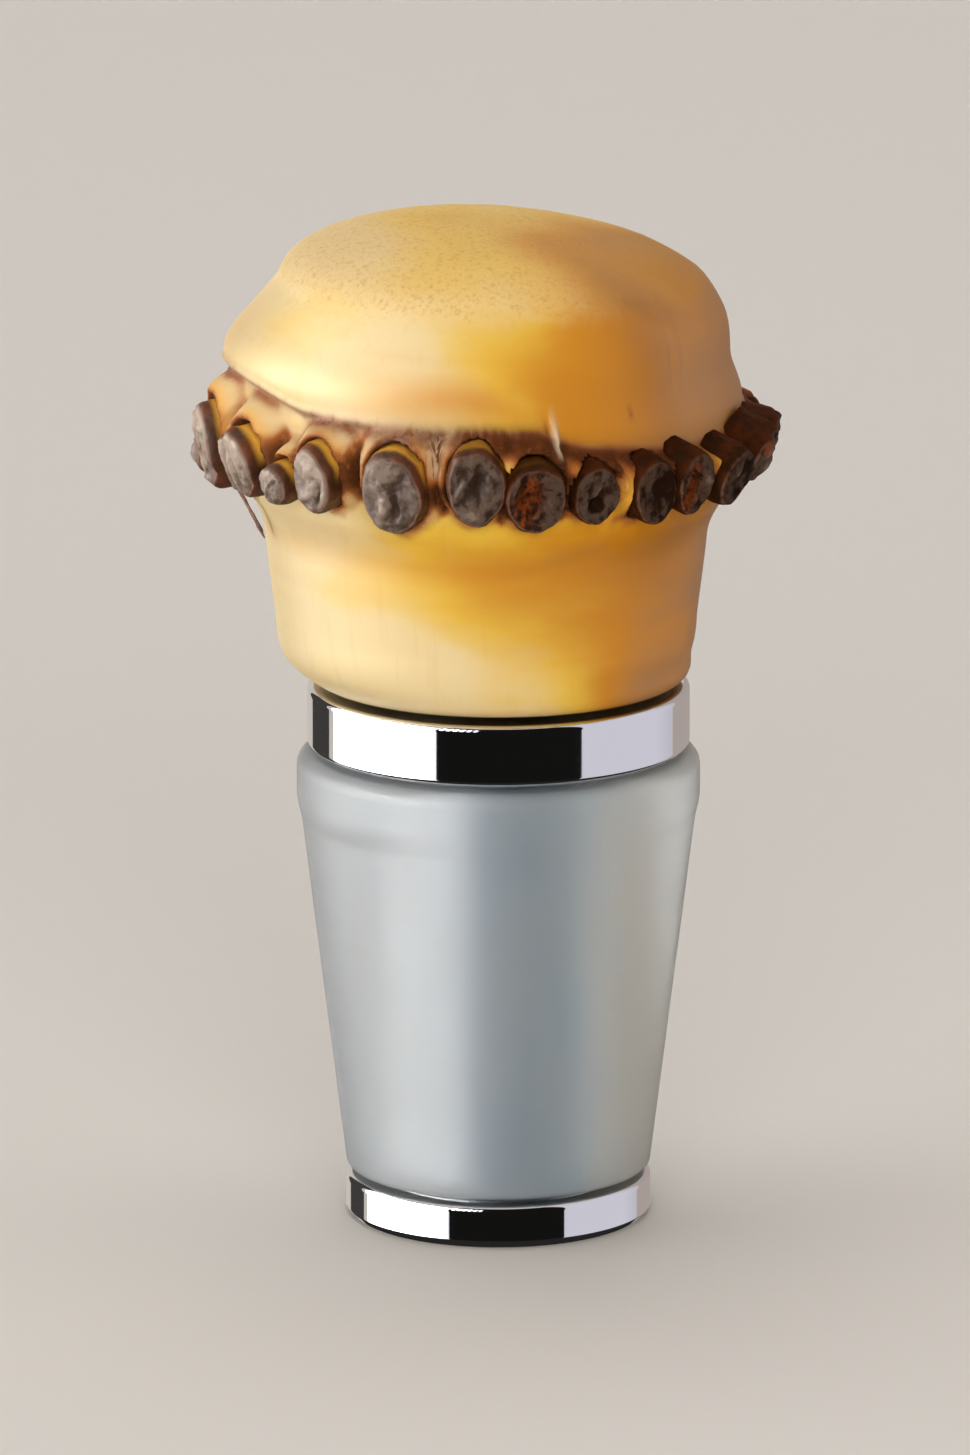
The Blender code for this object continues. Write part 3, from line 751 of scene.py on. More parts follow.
def knobBody():
    radius, level = knobOutline()
    columns = knob["columns"]
    bearing = np.linspace(0, 2 * math.pi, columns, endpoint=False) - math.pi
    # Every point's bearing, radius and level; q is its rise from the node
    angles, radii = np.meshgrid(bearing, radius)
    levels = np.meshgrid(bearing, level)[1]
    q = levels - knob["nodeLevel"]
    follow = 1 - np.where(q > 0, ramp(0, knob["crownHeight"], q), ramp(-0.35, -3.7, q))
    levels = levels + follow * scarRise(angles)
    xs, ys, zs = knobPoint(angles, radii, levels)
    seatUp = levels - knob["seatLevel"]
    degrees = np.degrees(angles)

    # Unevenness of the root: wide and shallow, and small and knobbly
    wide, small, swell, pit, lumps, upAtFirst, sideAtFirst, bare = np.zeros((8, *radii.shape))
    places = np.stack([xs, ys, zs], -1).reshape(-1, 3)
    wide.reshape(-1)[:] = [noise.noise(Vector(p) * 0.15) for p in places]
    small.reshape(-1)[:] = [noise.fractal(Vector(p) * 1.3, 1.0, 2.0, 3) for p in places]
    out = 0.06 * wide * ramp(0.3, 2.0, seatUp)

    # Each stub stands in a rolled collar of skin, with a groove inside and creases where two collars meet
    belowScar = ramp(0.0, -0.7, q)
    first = second = np.full_like(radii, 99.0)
    faceRadius = knob["bandDiameter"] / 2 + stubs["reach"]
    crest, ends = knob["collarCrest"], [knob[k] for k in ("collarEndBelow", "collarEnd", "collarEndAbove")]
    chance = random.Random(stubs["seed"])
    for stub in allStubs():
        centre, turn, drop, halfWidth, halfHeight = stubPlace(stub)[:5]
        across = ((angles - turn + math.pi) % (2 * math.pi) - math.pi) * faceRadius + 0.14 * small
        upright = zs - centre.z - (faceRadius - radii) * math.tan(drop) + 0.08 * small
        d = np.hypot(across / halfWidth, upright / halfHeight)
        up = upright / halfHeight / np.maximum(d, 0.01)
        end = np.interp(up, (-1, 0, 1), ends)
        height = knob["collarHeight"] * (0.9 + 0.2 * chance.random()) * (1 - 0.7 * ramp(0.0, 0.9, -up))
        height = height + knob["collarFill"] * darkenedAndShadedAt(stub[0]) * ramp(1.0, 0.5, np.abs(up))
        collar = height * ramp(end, crest, d) - 0.5 * bump(d - 1.0, 0.09) - 1.2 * (1 - ramp(0.8, 0.95, d))
        pit = pit + np.minimum(collar, 0)
        swell = swell + np.maximum(collar, 0) ** 4
        lumps = np.maximum(lumps, bump(d - 1.22, 0.14) * ramp(0.2, 0.8, -up))
        closer = d < first
        second = np.where(closer, first, np.minimum(second, d))
        upAtFirst = np.where(closer, up, upAtFirst)
        sideAtFirst = np.where(closer, across / halfWidth / np.maximum(d, 0.01), sideAtFirst)
        first = np.where(closer, d, first)
    near = ramp(2.2, 1.5, first)
    collars = np.where(first < 1.06, pit, swell ** 0.25)
    collars -= 0.4 * ramp(0.26, 0.02, second - first) * ramp(1.9, 1.4, first) * (collars > 0)
    out += collars * belowScar + 0.22 * lumps * np.clip(small + 0.3, 0, 1)
    out += 0.10 * small * ramp(1.9, 1.3, first) * belowScar

    # Bare skin fills some of the gaps between stubs
    for at, rise, width, height, strength in bareSkin:
        across = arcFrom(degrees, at, 14)
        bare = np.maximum(bare, strength * np.exp(-(across / width) ** 2
                                                  - ((levels - knob["rootLine"] - rise) / height) ** 2))
    out += 0.5 * bare * belowScar * (first > 1.06)

    # The sheath scar: a thin ridge over a groove, hatched for a short way left of the spur
    arc = 13.4
    hatch = bump(degrees - 2, 8) * (0.5 + 0.5 * np.sin(angles * arc * 2 * math.pi / 0.46))
    thick = 0.19 + 0.07 * ramp(-60, -25, degrees) * ramp(40, 0, degrees)
    out += bump(q, thick) * (0.17 - 0.10 * hatch) - 0.17 * bump(q + 0.5, 0.26) - 0.08 * hatch * bump(q + 0.3, 0.3)
    # The spur: a thin upright thorn with a notch on its left
    side = arcFrom(degrees, knob["spurBearing"], arc)
    upSpur = ramp(-1.0, -0.4, q) * (1 - ramp(0.2, knob["spurHeight"], q))
    thorn = bump(side - 0.06 * q, 0.12) * upSpur
    notch = bump(side + 0.36, 0.17) * bump(q - 0.1, 0.7)
    out += 0.42 * thorn - 0.2 * notch
    # A pinhole and two shallow drying lines on the right of the crown
    pinhole = np.hypot((degrees - 35.5) * 0.232, seatUp - 16.75)
    out -= 0.14 * bump(pinhole, 0.13)
    for line, depth in ((50, 0.07), (55, 0.05)):
        out -= depth * bump((degrees - line) * 0.23 + 0.8 * wide, 0.26) * bump(seatUp - 18.9, 1.7)
    # Turning marks near the seat
    out += 0.010 * np.sin(seatUp * 2 * math.pi / 0.62) * bump(seatUp - 2.4, 1.5)

    sanded = ramp(-0.55, 0.75, levels - knob["shoulderLevel"] + 0.5 * wide + 0.3 * small)
    out += 0.02 * small * sanded
    away = 1 - ramp(knob["shoulderLevel"], knob["shoulderLevel"] + 0.6 * knob["domeRise"], levels)
    xs = xs + np.sin(angles) * out * away
    ys = ys - np.cos(angles) * out * away
    zs = zs + out * (1 - away)

    # Masks for the finish
    hollow = blurred(out, 4, 4) - out
    below = ramp(0.25, -0.3, q)
    # The band's darkening, which on the right of the front is partly painted shade
    darkenedAndShaded = darkenedAndShadedAt(degrees)
    darkenedAndShaded = np.clip(darkenedAndShaded + 0.5 * small * ramp(0.1, 0.5, darkenedAndShaded), 0, 1)
    # Painted shade with the bark's own dark colour: in the groove round each cut, in the creases where collars meet, on
    # the right-hand and lower flanks of the collars, away from the window, and in hollows
    rim = bump(first - 1.05, 0.14) + (first < 1.05)
    meeting = ramp(0.26, 0.04, second - first) * ramp(1.7, 1.3, first)
    meeting *= np.interp(upAtFirst, (-0.6, 0.2, 0.9), (1.0, 0.9, 0.5))
    # Painted highlight: the crest of each collar where it faces up and left, towards the window
    onCrest = bump(first - 1.27, 0.14) * ramp(-0.35, 0.25, upAtFirst) * ramp(-0.7, 0.3, sideAtFirst)
    reachDown = np.interp(upAtFirst, (-1, -0.4, 0.3), (1.08, 1.3, 2.1))
    shaded = ramp(1.9, 1.4, first) * ramp(-0.1, 0.6, sideAtFirst)
    flankShade = np.maximum(0.7 * shaded * ramp(0.75, 0.3, upAtFirst),
                       ramp(1.2, 1.08, first) * ramp(0.2, -0.5, upAtFirst) * 0.2)
    flankShade = np.maximum(flankShade, 0.55 * ramp(2.4, 1.8, second) * ramp(0.6, 0.1, upAtFirst))
    flankShade = flankShade * (1 - darkenedAndShaded) + darkenedAndShaded * 0.96
    flankShade *= ramp(reachDown + 0.12, reachDown - 0.12, first)
    # Painted light in gold on the collar crests and on the bare skin between stubs
    glow = np.maximum(onCrest * (1.0 - 0.95 * darkenedAndShaded), bare)
    # Painted shade: a dark strip just under the scar on the right of the front, where the scar's ridge shades the band
    underScarShade = ramp(0.12, -0.12, q) * ramp(-1.7, -1.1, q) * ramp(16, 21, degrees)
    underScarShade *= 0.97 * ramp(125, 100, degrees)
    # Bark and painted shade together, with the crumbs under the stubs
    creviceBarkAndShade = np.maximum.reduce([rim, meeting, flankShade, 0.35 * lumps, 0.9 * ramp(0.04, 0.28, hollow) * near,
                                 darkenedAndShaded * bump(q + 0.8, 0.6), underScarShade])
    patch = bump(angleFrom(degrees, -10.5) / 2.4, 1) * ramp(-2.6, -1.9, q) * ramp(0.1, -0.35, q)
    masks = {
        "sanded": sanded,
        "darkenedAndShaded": darkenedAndShaded,
        "band": below * ramp(reachDown + 0.3, reachDown, first) * (0.6 + 0.4 * darkenedAndShaded),
        "glow": np.clip(glow, 0, 1) * below,
        "creviceBarkAndShade": np.clip(creviceBarkAndShade, 0, 1) * below * (1 - 0.9 * patch) * (1 - ramp(0, 0.7, bare)),
        "stripes": np.clip(patch, 0, 1) * 0.9,
        "scar": np.clip(bump(q + 0.18, thick * 2.0) * (0.9 + 0.5 * hatch), 0, 1)
                * (0.75 + 0.25 * ramp(-0.35, 0.25, small)),
        "spur": np.clip(thorn * 1.1, 0, 1) * ramp(-1.1, -0.4, q),
        "rooty": below * ramp(2.6, 2.0, first),
    }
    for name in ("glow", "creviceBarkAndShade", "scar", "rooty"):
        masks[name] = blurred(masks[name], 1, 1)
    spots = dict(zip((False, True), np.zeros((2, *radii.shape))))
    for at, up, width, height, strength, isDeep in stainsAndShade:
        across = arcFrom(degrees, at, radii)
        spot = strength * np.exp(-((across + 1.2 * wide) / width) ** 2 - ((seatUp - up + 1.0 * wide) / height) ** 2)
        spots[isDeep] = np.maximum(spots[isDeep], spot)
    # Stains, with the painted shade on the right of the dome and on the flare among them
    masks["stainAndShade"] = spots[False]
    masks["deepStainAndShade"] = np.maximum.reduce([spots[True], bump(pinhole, 0.26), 0.7 * notch])
    # Riper towards the right of the front, where the russet at the right edge carries a painted sheen
    ripeAndSheen = 0.38 * ramp(-36, 8, degrees) + 0.75 * ramp(4, 54, degrees)
    ripeAndSheen = ripeAndSheen * ramp(165, 85, degrees) + 0.40 * bump(angleFrom(degrees, 190), 34)
    ripeAndSheen = 0.35 + (ripeAndSheen - 0.35) * ramp(0, 9, radii)
    masks["ripenessAndSheen"] = np.clip(0.04 + ripeAndSheen + 0.30 * wide - 0.2 * ramp(6.2, 3.4, seatUp), 0, 1.2)

    # The seat and the stud's hole close the form from below
    hole = knob["holeDiameter"] / 2
    holeEnd = studHigh.z / mm + knob["holeRoom"]
    below = [(0.0, holeEnd + hole * drillSlope), (hole, holeEnd), (hole, knob["seatLevel"] + 0.2),
             (hole + 0.2, knob["seatLevel"]), (knob["seatDiameter"] / 2 - 0.3, knob["seatLevel"])]
    lower = [onCircle(r, turn, z) for r, z in below for turn in (bearing if r else bearing[:1])]
    upper = np.stack([xs[:-1], ys[:-1], zs[:-1]], -1).reshape(-1, 3)
    top = np.array([[xs[-1].mean(), ys[-1].mean(), zs[-1].mean()]])
    verts = np.concatenate([np.array(lower), upper, top]) * mm
    last = len(verts) - 1
    faces = [(0, 1 + (i + 1) % columns, 1 + i) for i in range(columns)]
    faces += ringFaces((last - 1) // columns, columns, 1)
    faces += [(last - columns + i, last - columns + (i + 1) % columns, last) for i in range(columns)]
    mesh = makeMesh("bambooKnob", verts.tolist(), faces)
    for name, mask in masks.items():
        value = np.concatenate([np.zeros(len(lower)), mask[:-1].reshape(-1), [mask[-1].mean()]])
        setValues(mesh, name, value.astype(np.float32))
    mesh.shade_smooth()
    return mesh


# A turned form: the profile's points go round the axis, with a thread on the crest if it has one
def turnedTree():
    graph, given = startGroup("turnedForm", (
        ("Profile", "Geometry"), ("Segments", "Int"), ("Thread Pitch", "Float"), ("Thread Depth", "Float"),
        ("Crest Radius", "Float"), ("Finish", "Material")))
    calc, plus, minus, times, out = graph.math, graph.plus, graph.minus, graph.times, graph.out
    size = graph.add("GeometryNodeAttributeDomainSize", {"Geometry": given["Profile"]}).outputs["Point Count"]
    around = plus(given["Segments"], 1)
    grid = out("GeometryNodeMeshGrid", {"Vertices X": size, "Vertices Y": around})
    index = out("GeometryNodeInputIndex")
    row = calc("FLOOR", calc("DIVIDE", plus(index, 0.5), around))
    column = minus(index, times(row, around))
    turn = times(calc("DIVIDE", column, given["Segments"]), math.tau)
    picked = out("GeometryNodeSampleIndex", {"Geometry": given["Profile"], "Index": row,
                                             "Value": out("GeometryNodeInputPosition")},
                 data_type="FLOAT_VECTOR", domain="POINT")
    split = graph.add("ShaderNodeSeparateXYZ", {0: picked}).outputs
    radius, level = split["X"], split["Z"]
    # The thread is a triangle wave of the height less the turn
    phase = minus(calc("DIVIDE", level, given["Thread Pitch"]), calc("DIVIDE", turn, math.tau))
    wave = times(calc("PINGPONG", plus(phase, 1000.0), 0.5), 2.0)
    onCrest = calc("GREATER_THAN", radius, given["Crest Radius"])
    radius = minus(radius, times(times(wave, given["Thread Depth"]), onCrest))
    x, y = times(radius, calc("SINE", turn)), times(times(radius, calc("COSINE", turn)), -1.0)
    moved = out("ShaderNodeCombineXYZ", {"X": x, "Y": y, "Z": level})
    placed = out("GeometryNodeSetPosition", {"Geometry": grid, "Position": moved})
    merged = out("GeometryNodeMergeByDistance", {"Geometry": placed, "Distance": 1e-6})
    real = out("GeometryNodeRealizeInstances", {"Geometry": merged})
    return endGroup(graph, real, given["Finish"])


def runTree(name, source, tree, inputs):
    # Sets the modifier's inputs by their identifiers, evaluates it once and keeps a plain mesh
    modifier = source.modifiers.new(tree.name, "NODES")
    modifier.node_group = tree
    sockets = {s.name: s.identifier for s in tree.interface.items_tree
               if s.item_type == "SOCKET" and s.in_out == "INPUT"}
    for key, value in inputs.items():
        modifier[sockets[key]] = value
    bpy.context.view_layer.update()
    ready = source.evaluated_get(bpy.context.evaluated_depsgraph_get())
    mesh = bpy.data.meshes.new_from_object(ready, preserve_all_data_layers=True,
                                           depsgraph=bpy.context.evaluated_depsgraph_get())
    mesh.name = name
    bpy.data.objects.remove(source)
    return makeObject(name, mesh)


def facesOutwards(mesh):
    # A closed mesh whose signed volume is negative is inside out
    mesh.calc_loop_triangles()
    corners = np.zeros(len(mesh.loop_triangles) * 3, np.int32)
    mesh.loop_triangles.foreach_get("vertices", corners)
    co = np.zeros(len(mesh.vertices) * 3, np.float32)
    mesh.vertices.foreach_get("co", co)
    a, b, c = co.reshape(-1, 3)[corners].reshape(-1, 3, 3).transpose(1, 0, 2).astype(float)
    if (a * np.cross(b, c)).sum() < 0:
        mesh.flip_normals()


def turnedPiece(name, outline, segments, finish, threadPitch=1.0, threadDepth=0.0, crestRadius=1000.0):
    source = makeObject(name + "Profile", makeMesh(name + "Profile", [(r * mm, 0, z * mm) for r, z in outline]))
    piece = runTree(name, source, turnedForm, {
        "Segments": segments, "Thread Pitch": threadPitch * mm, "Thread Depth": threadDepth * mm,
        "Crest Radius": crestRadius * mm, "Finish": finish})
    piece.data.shade_smooth()
    facesOutwards(piece.data)
    return piece


def rounded(corners, steps=6, hold=0.03):
    # Each corner (radius, level, fillet) becomes an arc with a close point before and after it
    outline = []
    count = len(corners)
    for i, (r, z, fillet) in enumerate(corners):
        here = Vector((r, z))
        if fillet == 0:
            outline.append((r, z))
            continue
        before = (Vector(corners[i - 1][:2]) - here).normalized()
        after = (Vector(corners[(i + 1) % count][:2]) - here).normalized()
        opening = before.angle(after)
        back = fillet / math.tan(opening / 2)
        centre = here + (before + after).normalized() * fillet / math.sin(opening / 2)
        start, end = here + before * back, here + after * back
        outline.append(tuple(start + before * hold))
        first, last = start - centre, end - centre
        sweep = first.angle_signed(last)
        for step in range(steps + 1):
            turn = -sweep * step / steps
            point = centre + Vector((first.x * math.cos(turn) - first.y * math.sin(turn),
                                     first.x * math.sin(turn) + first.y * math.cos(turn)))
            outline.append(tuple(point))
        outline.append(tuple(end + after * hold))
    return outline


bodyLow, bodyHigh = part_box("stopper_body")
sleeveLow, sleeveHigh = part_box("silicone_sleeve")
metalBody = {
    "footDiameter": 16.0,
    "footHeight": 2.3,
    "footChamfer": 0.4,
    "stemDiameter": 12.0,
    "collarDiameter": (bodyHigh.x - bodyLow.x) / mm,
    "collarHeight": 3.3,
    "top": bodyHigh.z / mm,
    "holeDiameter": 6.6,
    "holeFloor": studLow.z / mm - 1.0,
    "edge": 0.34,
    "segments": 256,
    "colour": (0.86, 0.86, 0.875),
    "roughness": 0.035,
    "relief": (0.05, 0.0001),
}


def mirrorPlating(setup):
    material, graph, shader = startMaterial("mirrorPlating")
    remap, field = graph.remap, graph.field
    tone = remap(field(90, (1, 1, 1), 2), 0.3, 0.7, 0.0, 0.35)
    graph.fill(shader, {
        "Base Color": graph.mix(tone, setup["colour"], tuple(c * 0.95 for c in setup["colour"])), "Metallic": 1.0,
        "Roughness": remap(field(260, (1, 1, 0.4), 3), 0.35, 0.75, setup["roughness"], setup["roughness"] * 1.8),
        "Normal": graph.relief(field(220, (1, 1, 0.5), 2), *setup["relief"])})
    return material


def addMetalBody(setup):
    foot, stem, collar = (setup[k] / 2 for k in ("footDiameter", "stemDiameter", "collarDiameter"))
    hole, top, edge = setup["holeDiameter"] / 2, setup["top"], setup["edge"]
    base = top - setup["collarHeight"]
    outline = rounded([
        (0, 0, 0), (foot - setup["footChamfer"], 0, 0.08), (foot, setup["footChamfer"], 0.12),
        (foot, setup["footHeight"], edge), (stem, setup["footHeight"], 0.1), (stem, base, 0.1),
        (collar, base, edge), (collar, top, edge), (hole + 0.5, top, 0.08), (hole, top - 0.5, 0.08),
        (hole, setup["holeFloor"], 0.2), (0, setup["holeFloor"] - hole * drillSlope, 0)])
    piece = turnedPiece("platedBody", outline, setup["segments"], mirrorPlating(setup))
    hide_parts("stopper_body")
    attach(piece, "root")
    print("plated body made")


sleeve = {
    "low": sleeveLow.z / mm,
    "high": sleeveHigh.z / mm,
    "lipDiameter": (sleeveHigh.x - sleeveLow.x) / mm,
    "lipHeight": 3.0,
    "lipRadius": 0.8,
    "topDiameter": 20.6,
    "bottomDiameter": 15.9,
    "bottomRadius": 0.4,
    "bore": 12.1,
    "segments": 192,
    "colour": (0.87, 0.91, 0.94),
    # Painted shade where the stem stands behind, and painted warm light on the right
    "stemShadeColour": (0.50, 0.62, 0.72),
    "warmLightColour": (0.83, 0.80, 0.72),
    "roughness": 0.46,
    "clearness": 0.62,
    "stemShadeAcross": 0.0026,
    "stemShadeFade": (0.0060, 0.0006),
    "warmLightAcross": (0.003, 0.009),
    "optics": {"IOR": 1.41, "Specular IOR Level": 0.15, "Subsurface Weight": 0.6,
               "Subsurface Radius": (1.0, 1.0, 1.0), "Subsurface Scale": 0.0015},
    "relief": (0.12, 0.0002),
}


def frostedSilicone(setup):
    material, graph, shader = startMaterial("frostedSilicone")
    # Cloudy, with painted shade in an upright blue-grey band the width of the stem behind it, and painted warm light on
    # its right
    cloud = graph.remap(graph.field(130, (1, 1, 0.4), 3), 0.36, 0.66, -0.1, 0.30)
    across = graph.out("ShaderNodeSeparateXYZ", {0: graph.place()})
    cloudAndWarmLight = graph.plus(cloud, graph.remap(across, *setup["warmLightAcross"], 0.0, 0.8))
    stem = graph.remap(graph.math("ABSOLUTE", graph.minus(across, setup["stemShadeAcross"])), *setup["stemShadeFade"])
    streak = graph.field(700, (0.2, 0.2, 1), 3)
    graph.fill(shader, {
        "Base Color": graph.layer(setup["colour"], (stem, setup["stemShadeColour"]), (cloudAndWarmLight, setup["warmLightColour"])),
        "Roughness": graph.remap(streak, 0.3, 0.75, setup["roughness"] - 0.05, setup["roughness"] + 0.07),
        "Normal": graph.relief(streak, *setup["relief"]), "Transmission Weight": setup["clearness"],
        **setup["optics"]})
    return material


def addSleeve(setup):
    low, high, bore = setup["low"], setup["high"], setup["bore"] / 2
    bottom, top, lip = (setup[k] / 2 for k in ("bottomDiameter", "topDiameter", "lipDiameter"))
    lipBase, step = high - setup["lipHeight"], lip - top
    outline = rounded([
        (bore, low, 0.1), (bottom, low, setup["bottomRadius"]), (top, lipBase - 2 * step, 3.4),
        (lip, lipBase + 2 * step, 3.4), (lip, high, setup["lipRadius"]), (bore, high, 0.15)])
    piece = turnedPiece("siliconeSleeve", outline + outline[:1], setup["segments"], frostedSilicone(setup))
    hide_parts("silicone_sleeve")
    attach(piece, "root")
    print("sleeve made")


stud = {
    "diameter": 6.0,
    "chamfer": 0.6,
    "pitch": 1.0,
    "depth": 0.5,
    "step": 0.125,
    "segments": 48,
    "colour": (0.62, 0.62, 0.60),
    "roughness": 0.3,
}


def brightSteel(setup):
    material, graph, shader = startMaterial("brightSteel")
    streak = graph.field(1200, (1, 1, 0.2), 3)
    worn = tuple(c * 0.82 for c in setup["colour"])
    graph.fill(shader, {"Base Color": graph.mix(graph.remap(streak, 0.3, 0.7), setup["colour"], worn), "Metallic": 1.0,
                        "Roughness": graph.remap(streak, 0.3, 0.7, setup["roughness"], setup["roughness"] + 0.12)})
    return material


def addStud(setup):
    radius, chamfer = setup["diameter"] / 2, setup["chamfer"]
    low, high = studLow.z / mm, studHigh.z / mm
    outline = [(0, low), (radius - chamfer, low), (radius - 0.001, low + chamfer)]
    run = high - low - 2 * chamfer
    count = round(run / setup["step"])
    outline += [(radius, low + chamfer + run * i / count) for i in range(1, count)]
    outline += [(radius - 0.001, high - chamfer), (radius - chamfer, high), (0, high)]
    piece = turnedPiece("threadedStud", outline, setup["segments"], brightSteel(setup),
                        setup["pitch"], setup["depth"], radius - 0.0005)
    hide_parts("threaded_stud")
    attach(piece, "root")
    print("stud made")


# Root stubs: a few cut forms, placed round the band. Each point of a form carries these masks.
formMasks = ("cut", "reach", "pale", "warm", "shape", "upper")


def stubForm(form):
    # Unit half width on X and half height on Z; it faces -Y, and Y is in millimetres from the cut
    name, bleached, dome, slopeAcross, slopeUp, wobbleSize, features, warmSpots = form
    chance = random.Random("stub " + name)
    waves = [(n, wobbleSize * chance.uniform(0.5, 1) / n ** 0.75, chance.uniform(0, math.tau))
             for n in (2, 3, 5, 7, 9)]
    # The side's rings as depth and size, then the sizes of the rings on the cut
    side = [(-stubs["rooting"] - 0.8, 1.03), (-1.3, 1.03), (-1.0, 1.03), (-0.78, 1.03), (-0.6, 1.025), (-0.45, 1.015),
            (-0.32, 1.0), (-0.21, 0.975), (-0.12, 0.94), (-0.05, 0.90)]
    shares = [0.86, 0.82, 0.77, 0.72, 0.66, 0.6, 0.54, 0.48, 0.42, 0.36, 0.3, 0.24, 0.18, 0.12, 0.06, 0.0]

    def cutLevel(x, z, size):
        level = dome * (1 - size * size) + slopeAcross * x + slopeUp * z
        for fx, fz, long, short, turn, height in features:
            c, s = math.cos(math.radians(turn)), math.sin(math.radians(turn))
            along, over = (x - fx) * c + (z - fz) * s, (z - fz) * c - (x - fx) * s
            level += height * math.exp(-(along / long) ** 2 - (over / short) ** 2)
        return level

    verts, marks = [], []
    count = stubs["ringPoints"]
    for depth, size in side + [(None, s) for s in shares]:
        for i in range(count if size else 1):
            turn = math.tau * i / count
            wobble = 1 + sum(a * math.sin(n * turn + p) for n, a, p in waves)
            x, z = size * wobble * math.cos(turn), size * wobble * math.sin(turn)
            level = cutLevel(x, z, size)
            edge = depth + level * max(0.0, 1 + depth) if depth is not None else level
            verts.append((x, -edge, z))
            marks.append((
                float(ramp(0.99, 0.84, size)) if depth is None or depth > -0.3 else 0.0,
                1.0 if depth is None else min(1.0, max(0.0, 1 + depth / 1.4)), bleached,
                min(1.0, sum(math.exp(-((x - wx) ** 2 + (z - wz) ** 2) / wr ** 2) for wx, wz, wr in warmSpots)),
                level - dome * (1 - size * size), float(ramp(-0.1, 0.6, math.sin(turn)))))
    faces = ringFaces(len(side) + len(shares) - 1, count)
    tip = len(verts) - 1
    faces += [(tip - count + i, tip - count + (i + 1) % count, tip) for i in range(count)]
    faces.append(tuple(range(count - 1, -1, -1)))
    mesh = makeMesh(name, verts, faces)
    for key, values in zip(formMasks, zip(*marks)):
        setValues(mesh, key, values)
    mesh.shade_smooth()
    return makeObject(name, mesh)


def splinterForm():
    # A thin torn tongue that hangs from Z 1 to Z -1 and stands a little away at its tip
    rows, around = 12, 10
    verts = []
    for k in range(rows + 1):
        share = k / rows
        wide = min(0.30 + 0.7 * share ** 2, 1.6 * (1.0 - share) ** 0.5) + 0.04
        for i in range(around):
            turn = math.tau * i / around
            verts.append((0.25 * share + wide * math.cos(turn), -0.12 * share ** 2 - 0.16 * wide * math.sin(turn),
                          1 - 2 * share + 0.1 * math.cos(3 * turn)))
    faces = ringFaces(rows + 1, around)
    faces += [tuple(range(around)), tuple(rows * around + i for i in reversed(range(around)))]
    mesh = makeMesh("splinter", verts, faces)
    for key, value in zip(formMasks, (0.6, 1.0, 0.0, 0.7, 0.0, 0.0)):
        setValues(mesh, key, [value] * len(verts))
    facesOutwards(mesh)
    mesh.shade_smooth()
    return makeObject("splinter", mesh)


def stubTree():
    graph, given = startGroup("rootStubs", (
        ("Places", "Geometry"), ("Forms", "Collection"), ("Relief", "Float"), ("Grain", "Float"), ("Seed", "Float"),
        ("Finish", "Material")))
    plus, times, out = graph.plus, graph.times, graph.out

    def named(name, kind="FLOAT"):
        return out("GeometryNodeInputNamedAttribute", {"Name": name}, data_type=kind)

    forms = out("GeometryNodeCollectionInfo", {"Collection": given["Forms"], "Separate Children": True,
                                               "Reset Children": True})
    placed = out("GeometryNodeInstanceOnPoints", {
        "Points": given["Places"], "Instance": forms, "Pick Instance": True, "Instance Index": named("form", "INT"),
        "Rotation": out("FunctionNodeEulerToRotation", {0: named("turn", "FLOAT_VECTOR")}),
        "Scale": named("size", "FLOAT_VECTOR")})
    real = out("GeometryNodeRealizeInstances", {"Geometry": placed})
    # Ragged relief that differs from stub to stub, strongest on the cuts
    rough = graph.add("ShaderNodeTexNoise", {
        "Vector": out("GeometryNodeInputPosition"), "W": given["Seed"], "Scale": given["Grain"], "Detail": 4.0,
        "Roughness": 0.62}, noise_dimensions="4D").outputs["Fac"]
    weight = plus(times(named("cut"), 0.25), 0.75)
    offset = times(times(graph.minus(rough, 0.5), weight), given["Relief"])
    move = out("ShaderNodeVectorMath", {0: out("GeometryNodeInputNormal"), "Scale": offset}, operation="SCALE")
    # The finish reads how high each point stands on its cut
    noted = out("GeometryNodeStoreNamedAttribute", {
        "Geometry": real, "Name": "lift", "Value": plus(rough, times(named("shape"), 0.9))},
        data_type="FLOAT", domain="POINT")
    moved = out("GeometryNodeSetPosition", {"Geometry": noted, "Offset": move})
    return endGroup(graph, moved, given["Finish"])


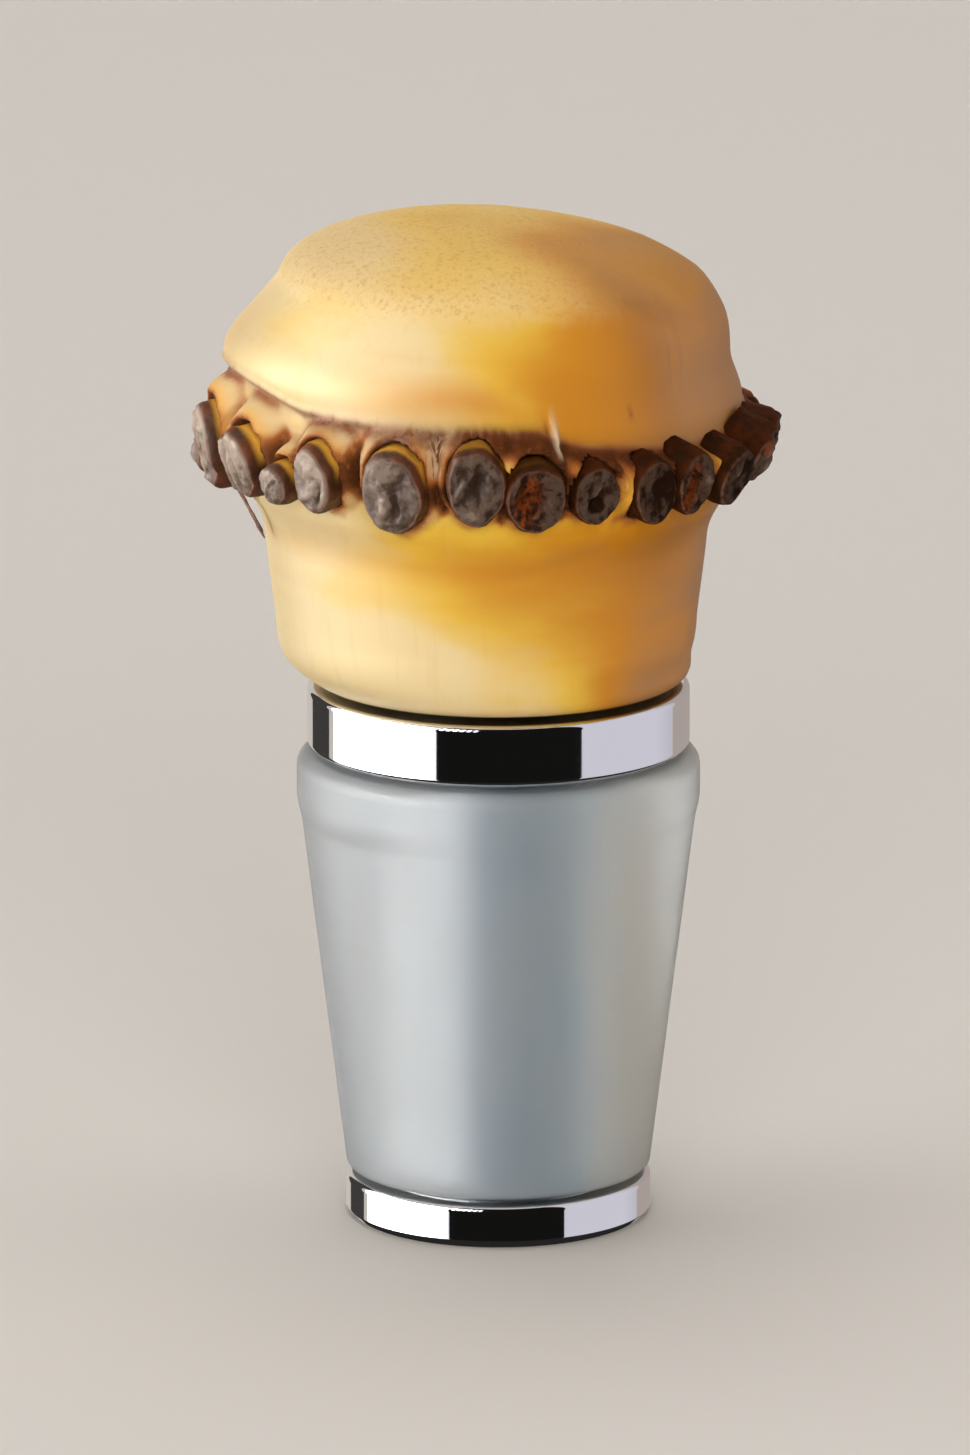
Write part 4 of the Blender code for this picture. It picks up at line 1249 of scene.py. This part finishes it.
def addKnob():
    body = makeObject("bambooKnob", knobBody())
    body.data.materials.append(bambooSkin(bambooFinish))
    facesOutwards(body.data)
    print("knob body made")

    forms = bpy.data.collections.new("stubForms")
    bpy.context.scene.collection.children.link(forms)
    order = sorted([form[0] for form in cutForms] + ["splinter"])
    for piece in [stubForm(form) for form in cutForms] + [splinterForm()]:
        bpy.context.scene.collection.objects.unlink(piece)
        forms.objects.link(piece)
    chance = random.Random(stubs["seed"])
    places, turns, sizes, kinds, dark = [], [], [], [], []
    for stub in allStubs():
        centre, turn, drop, halfWidth, halfHeight, form = stubPlace(stub)
        roll = chance.uniform(-0.16, 0.16)
        spin = Matrix.Rotation(turn, 3, "Z") @ Matrix.Rotation(drop, 3, "X") @ Matrix.Rotation(roll, 3, "Y")
        places.append(tuple(centre * mm))
        turns += list(spin.to_euler("XYZ"))
        sizes += [halfWidth * mm, mm, halfHeight * mm]
        kinds.append(order.index(cutForms[form][0]))
        # How dark the band is at each stub, partly painted shade
        dark.append(float(darkenedAndShadedAt(stub[0])))
    bearing, rise, width, length, stand = stubs["splinter"]
    turn = math.radians(bearing)
    places.append(tuple(standingOff(turn, knob["bandBaseDiameter"], rise, stand) * mm))
    turns += list((Matrix.Rotation(turn, 3, "Z") @ Matrix.Rotation(0.5, 3, "X")
                   @ Matrix.Rotation(-0.1, 3, "Y")).to_euler("XYZ"))
    sizes += [width / 2 * mm, mm, length / 2 * mm]
    kinds.append(order.index("splinter"))
    dark.append(0.0)
    mesh = makeMesh("stubPlaces", places)
    for name, values, kind in (("turn", turns, "FLOAT_VECTOR"), ("size", sizes, "FLOAT_VECTOR"),
                               ("form", kinds, "INT"), ("darkenedAndShaded", dark, "FLOAT")):
        setValues(mesh, name, values, kind)
    source = makeObject("stubPlaces", mesh)
    trimmed = runTree("rootStubs", source, stubTree(), {
        "Forms": forms, "Relief": stubs["relief"] * mm, "Grain": stubs["grain"], "Seed": stubs["noiseSeed"],
        "Finish": trimmedRoot(bambooFinish)})
    for form in list(forms.objects):
        bpy.data.objects.remove(form)
    bpy.data.collections.remove(forms)
    for piece in (body, trimmed):
        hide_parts("bamboo_knob")
        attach(piece, "root")
    print("root stubs made")


addCamera(cameraSetup)
addStudio(studio)
turnedForm = turnedTree()
addMetalBody(metalBody)
addSleeve(sleeve)
addStud(stud)
addKnob()

for obj in bpy.context.scene.objects:
    if obj.type == "MESH" and not obj.hide_render:
        obj.data.calc_loop_triangles()
        print(obj.name, len(obj.data.loop_triangles))
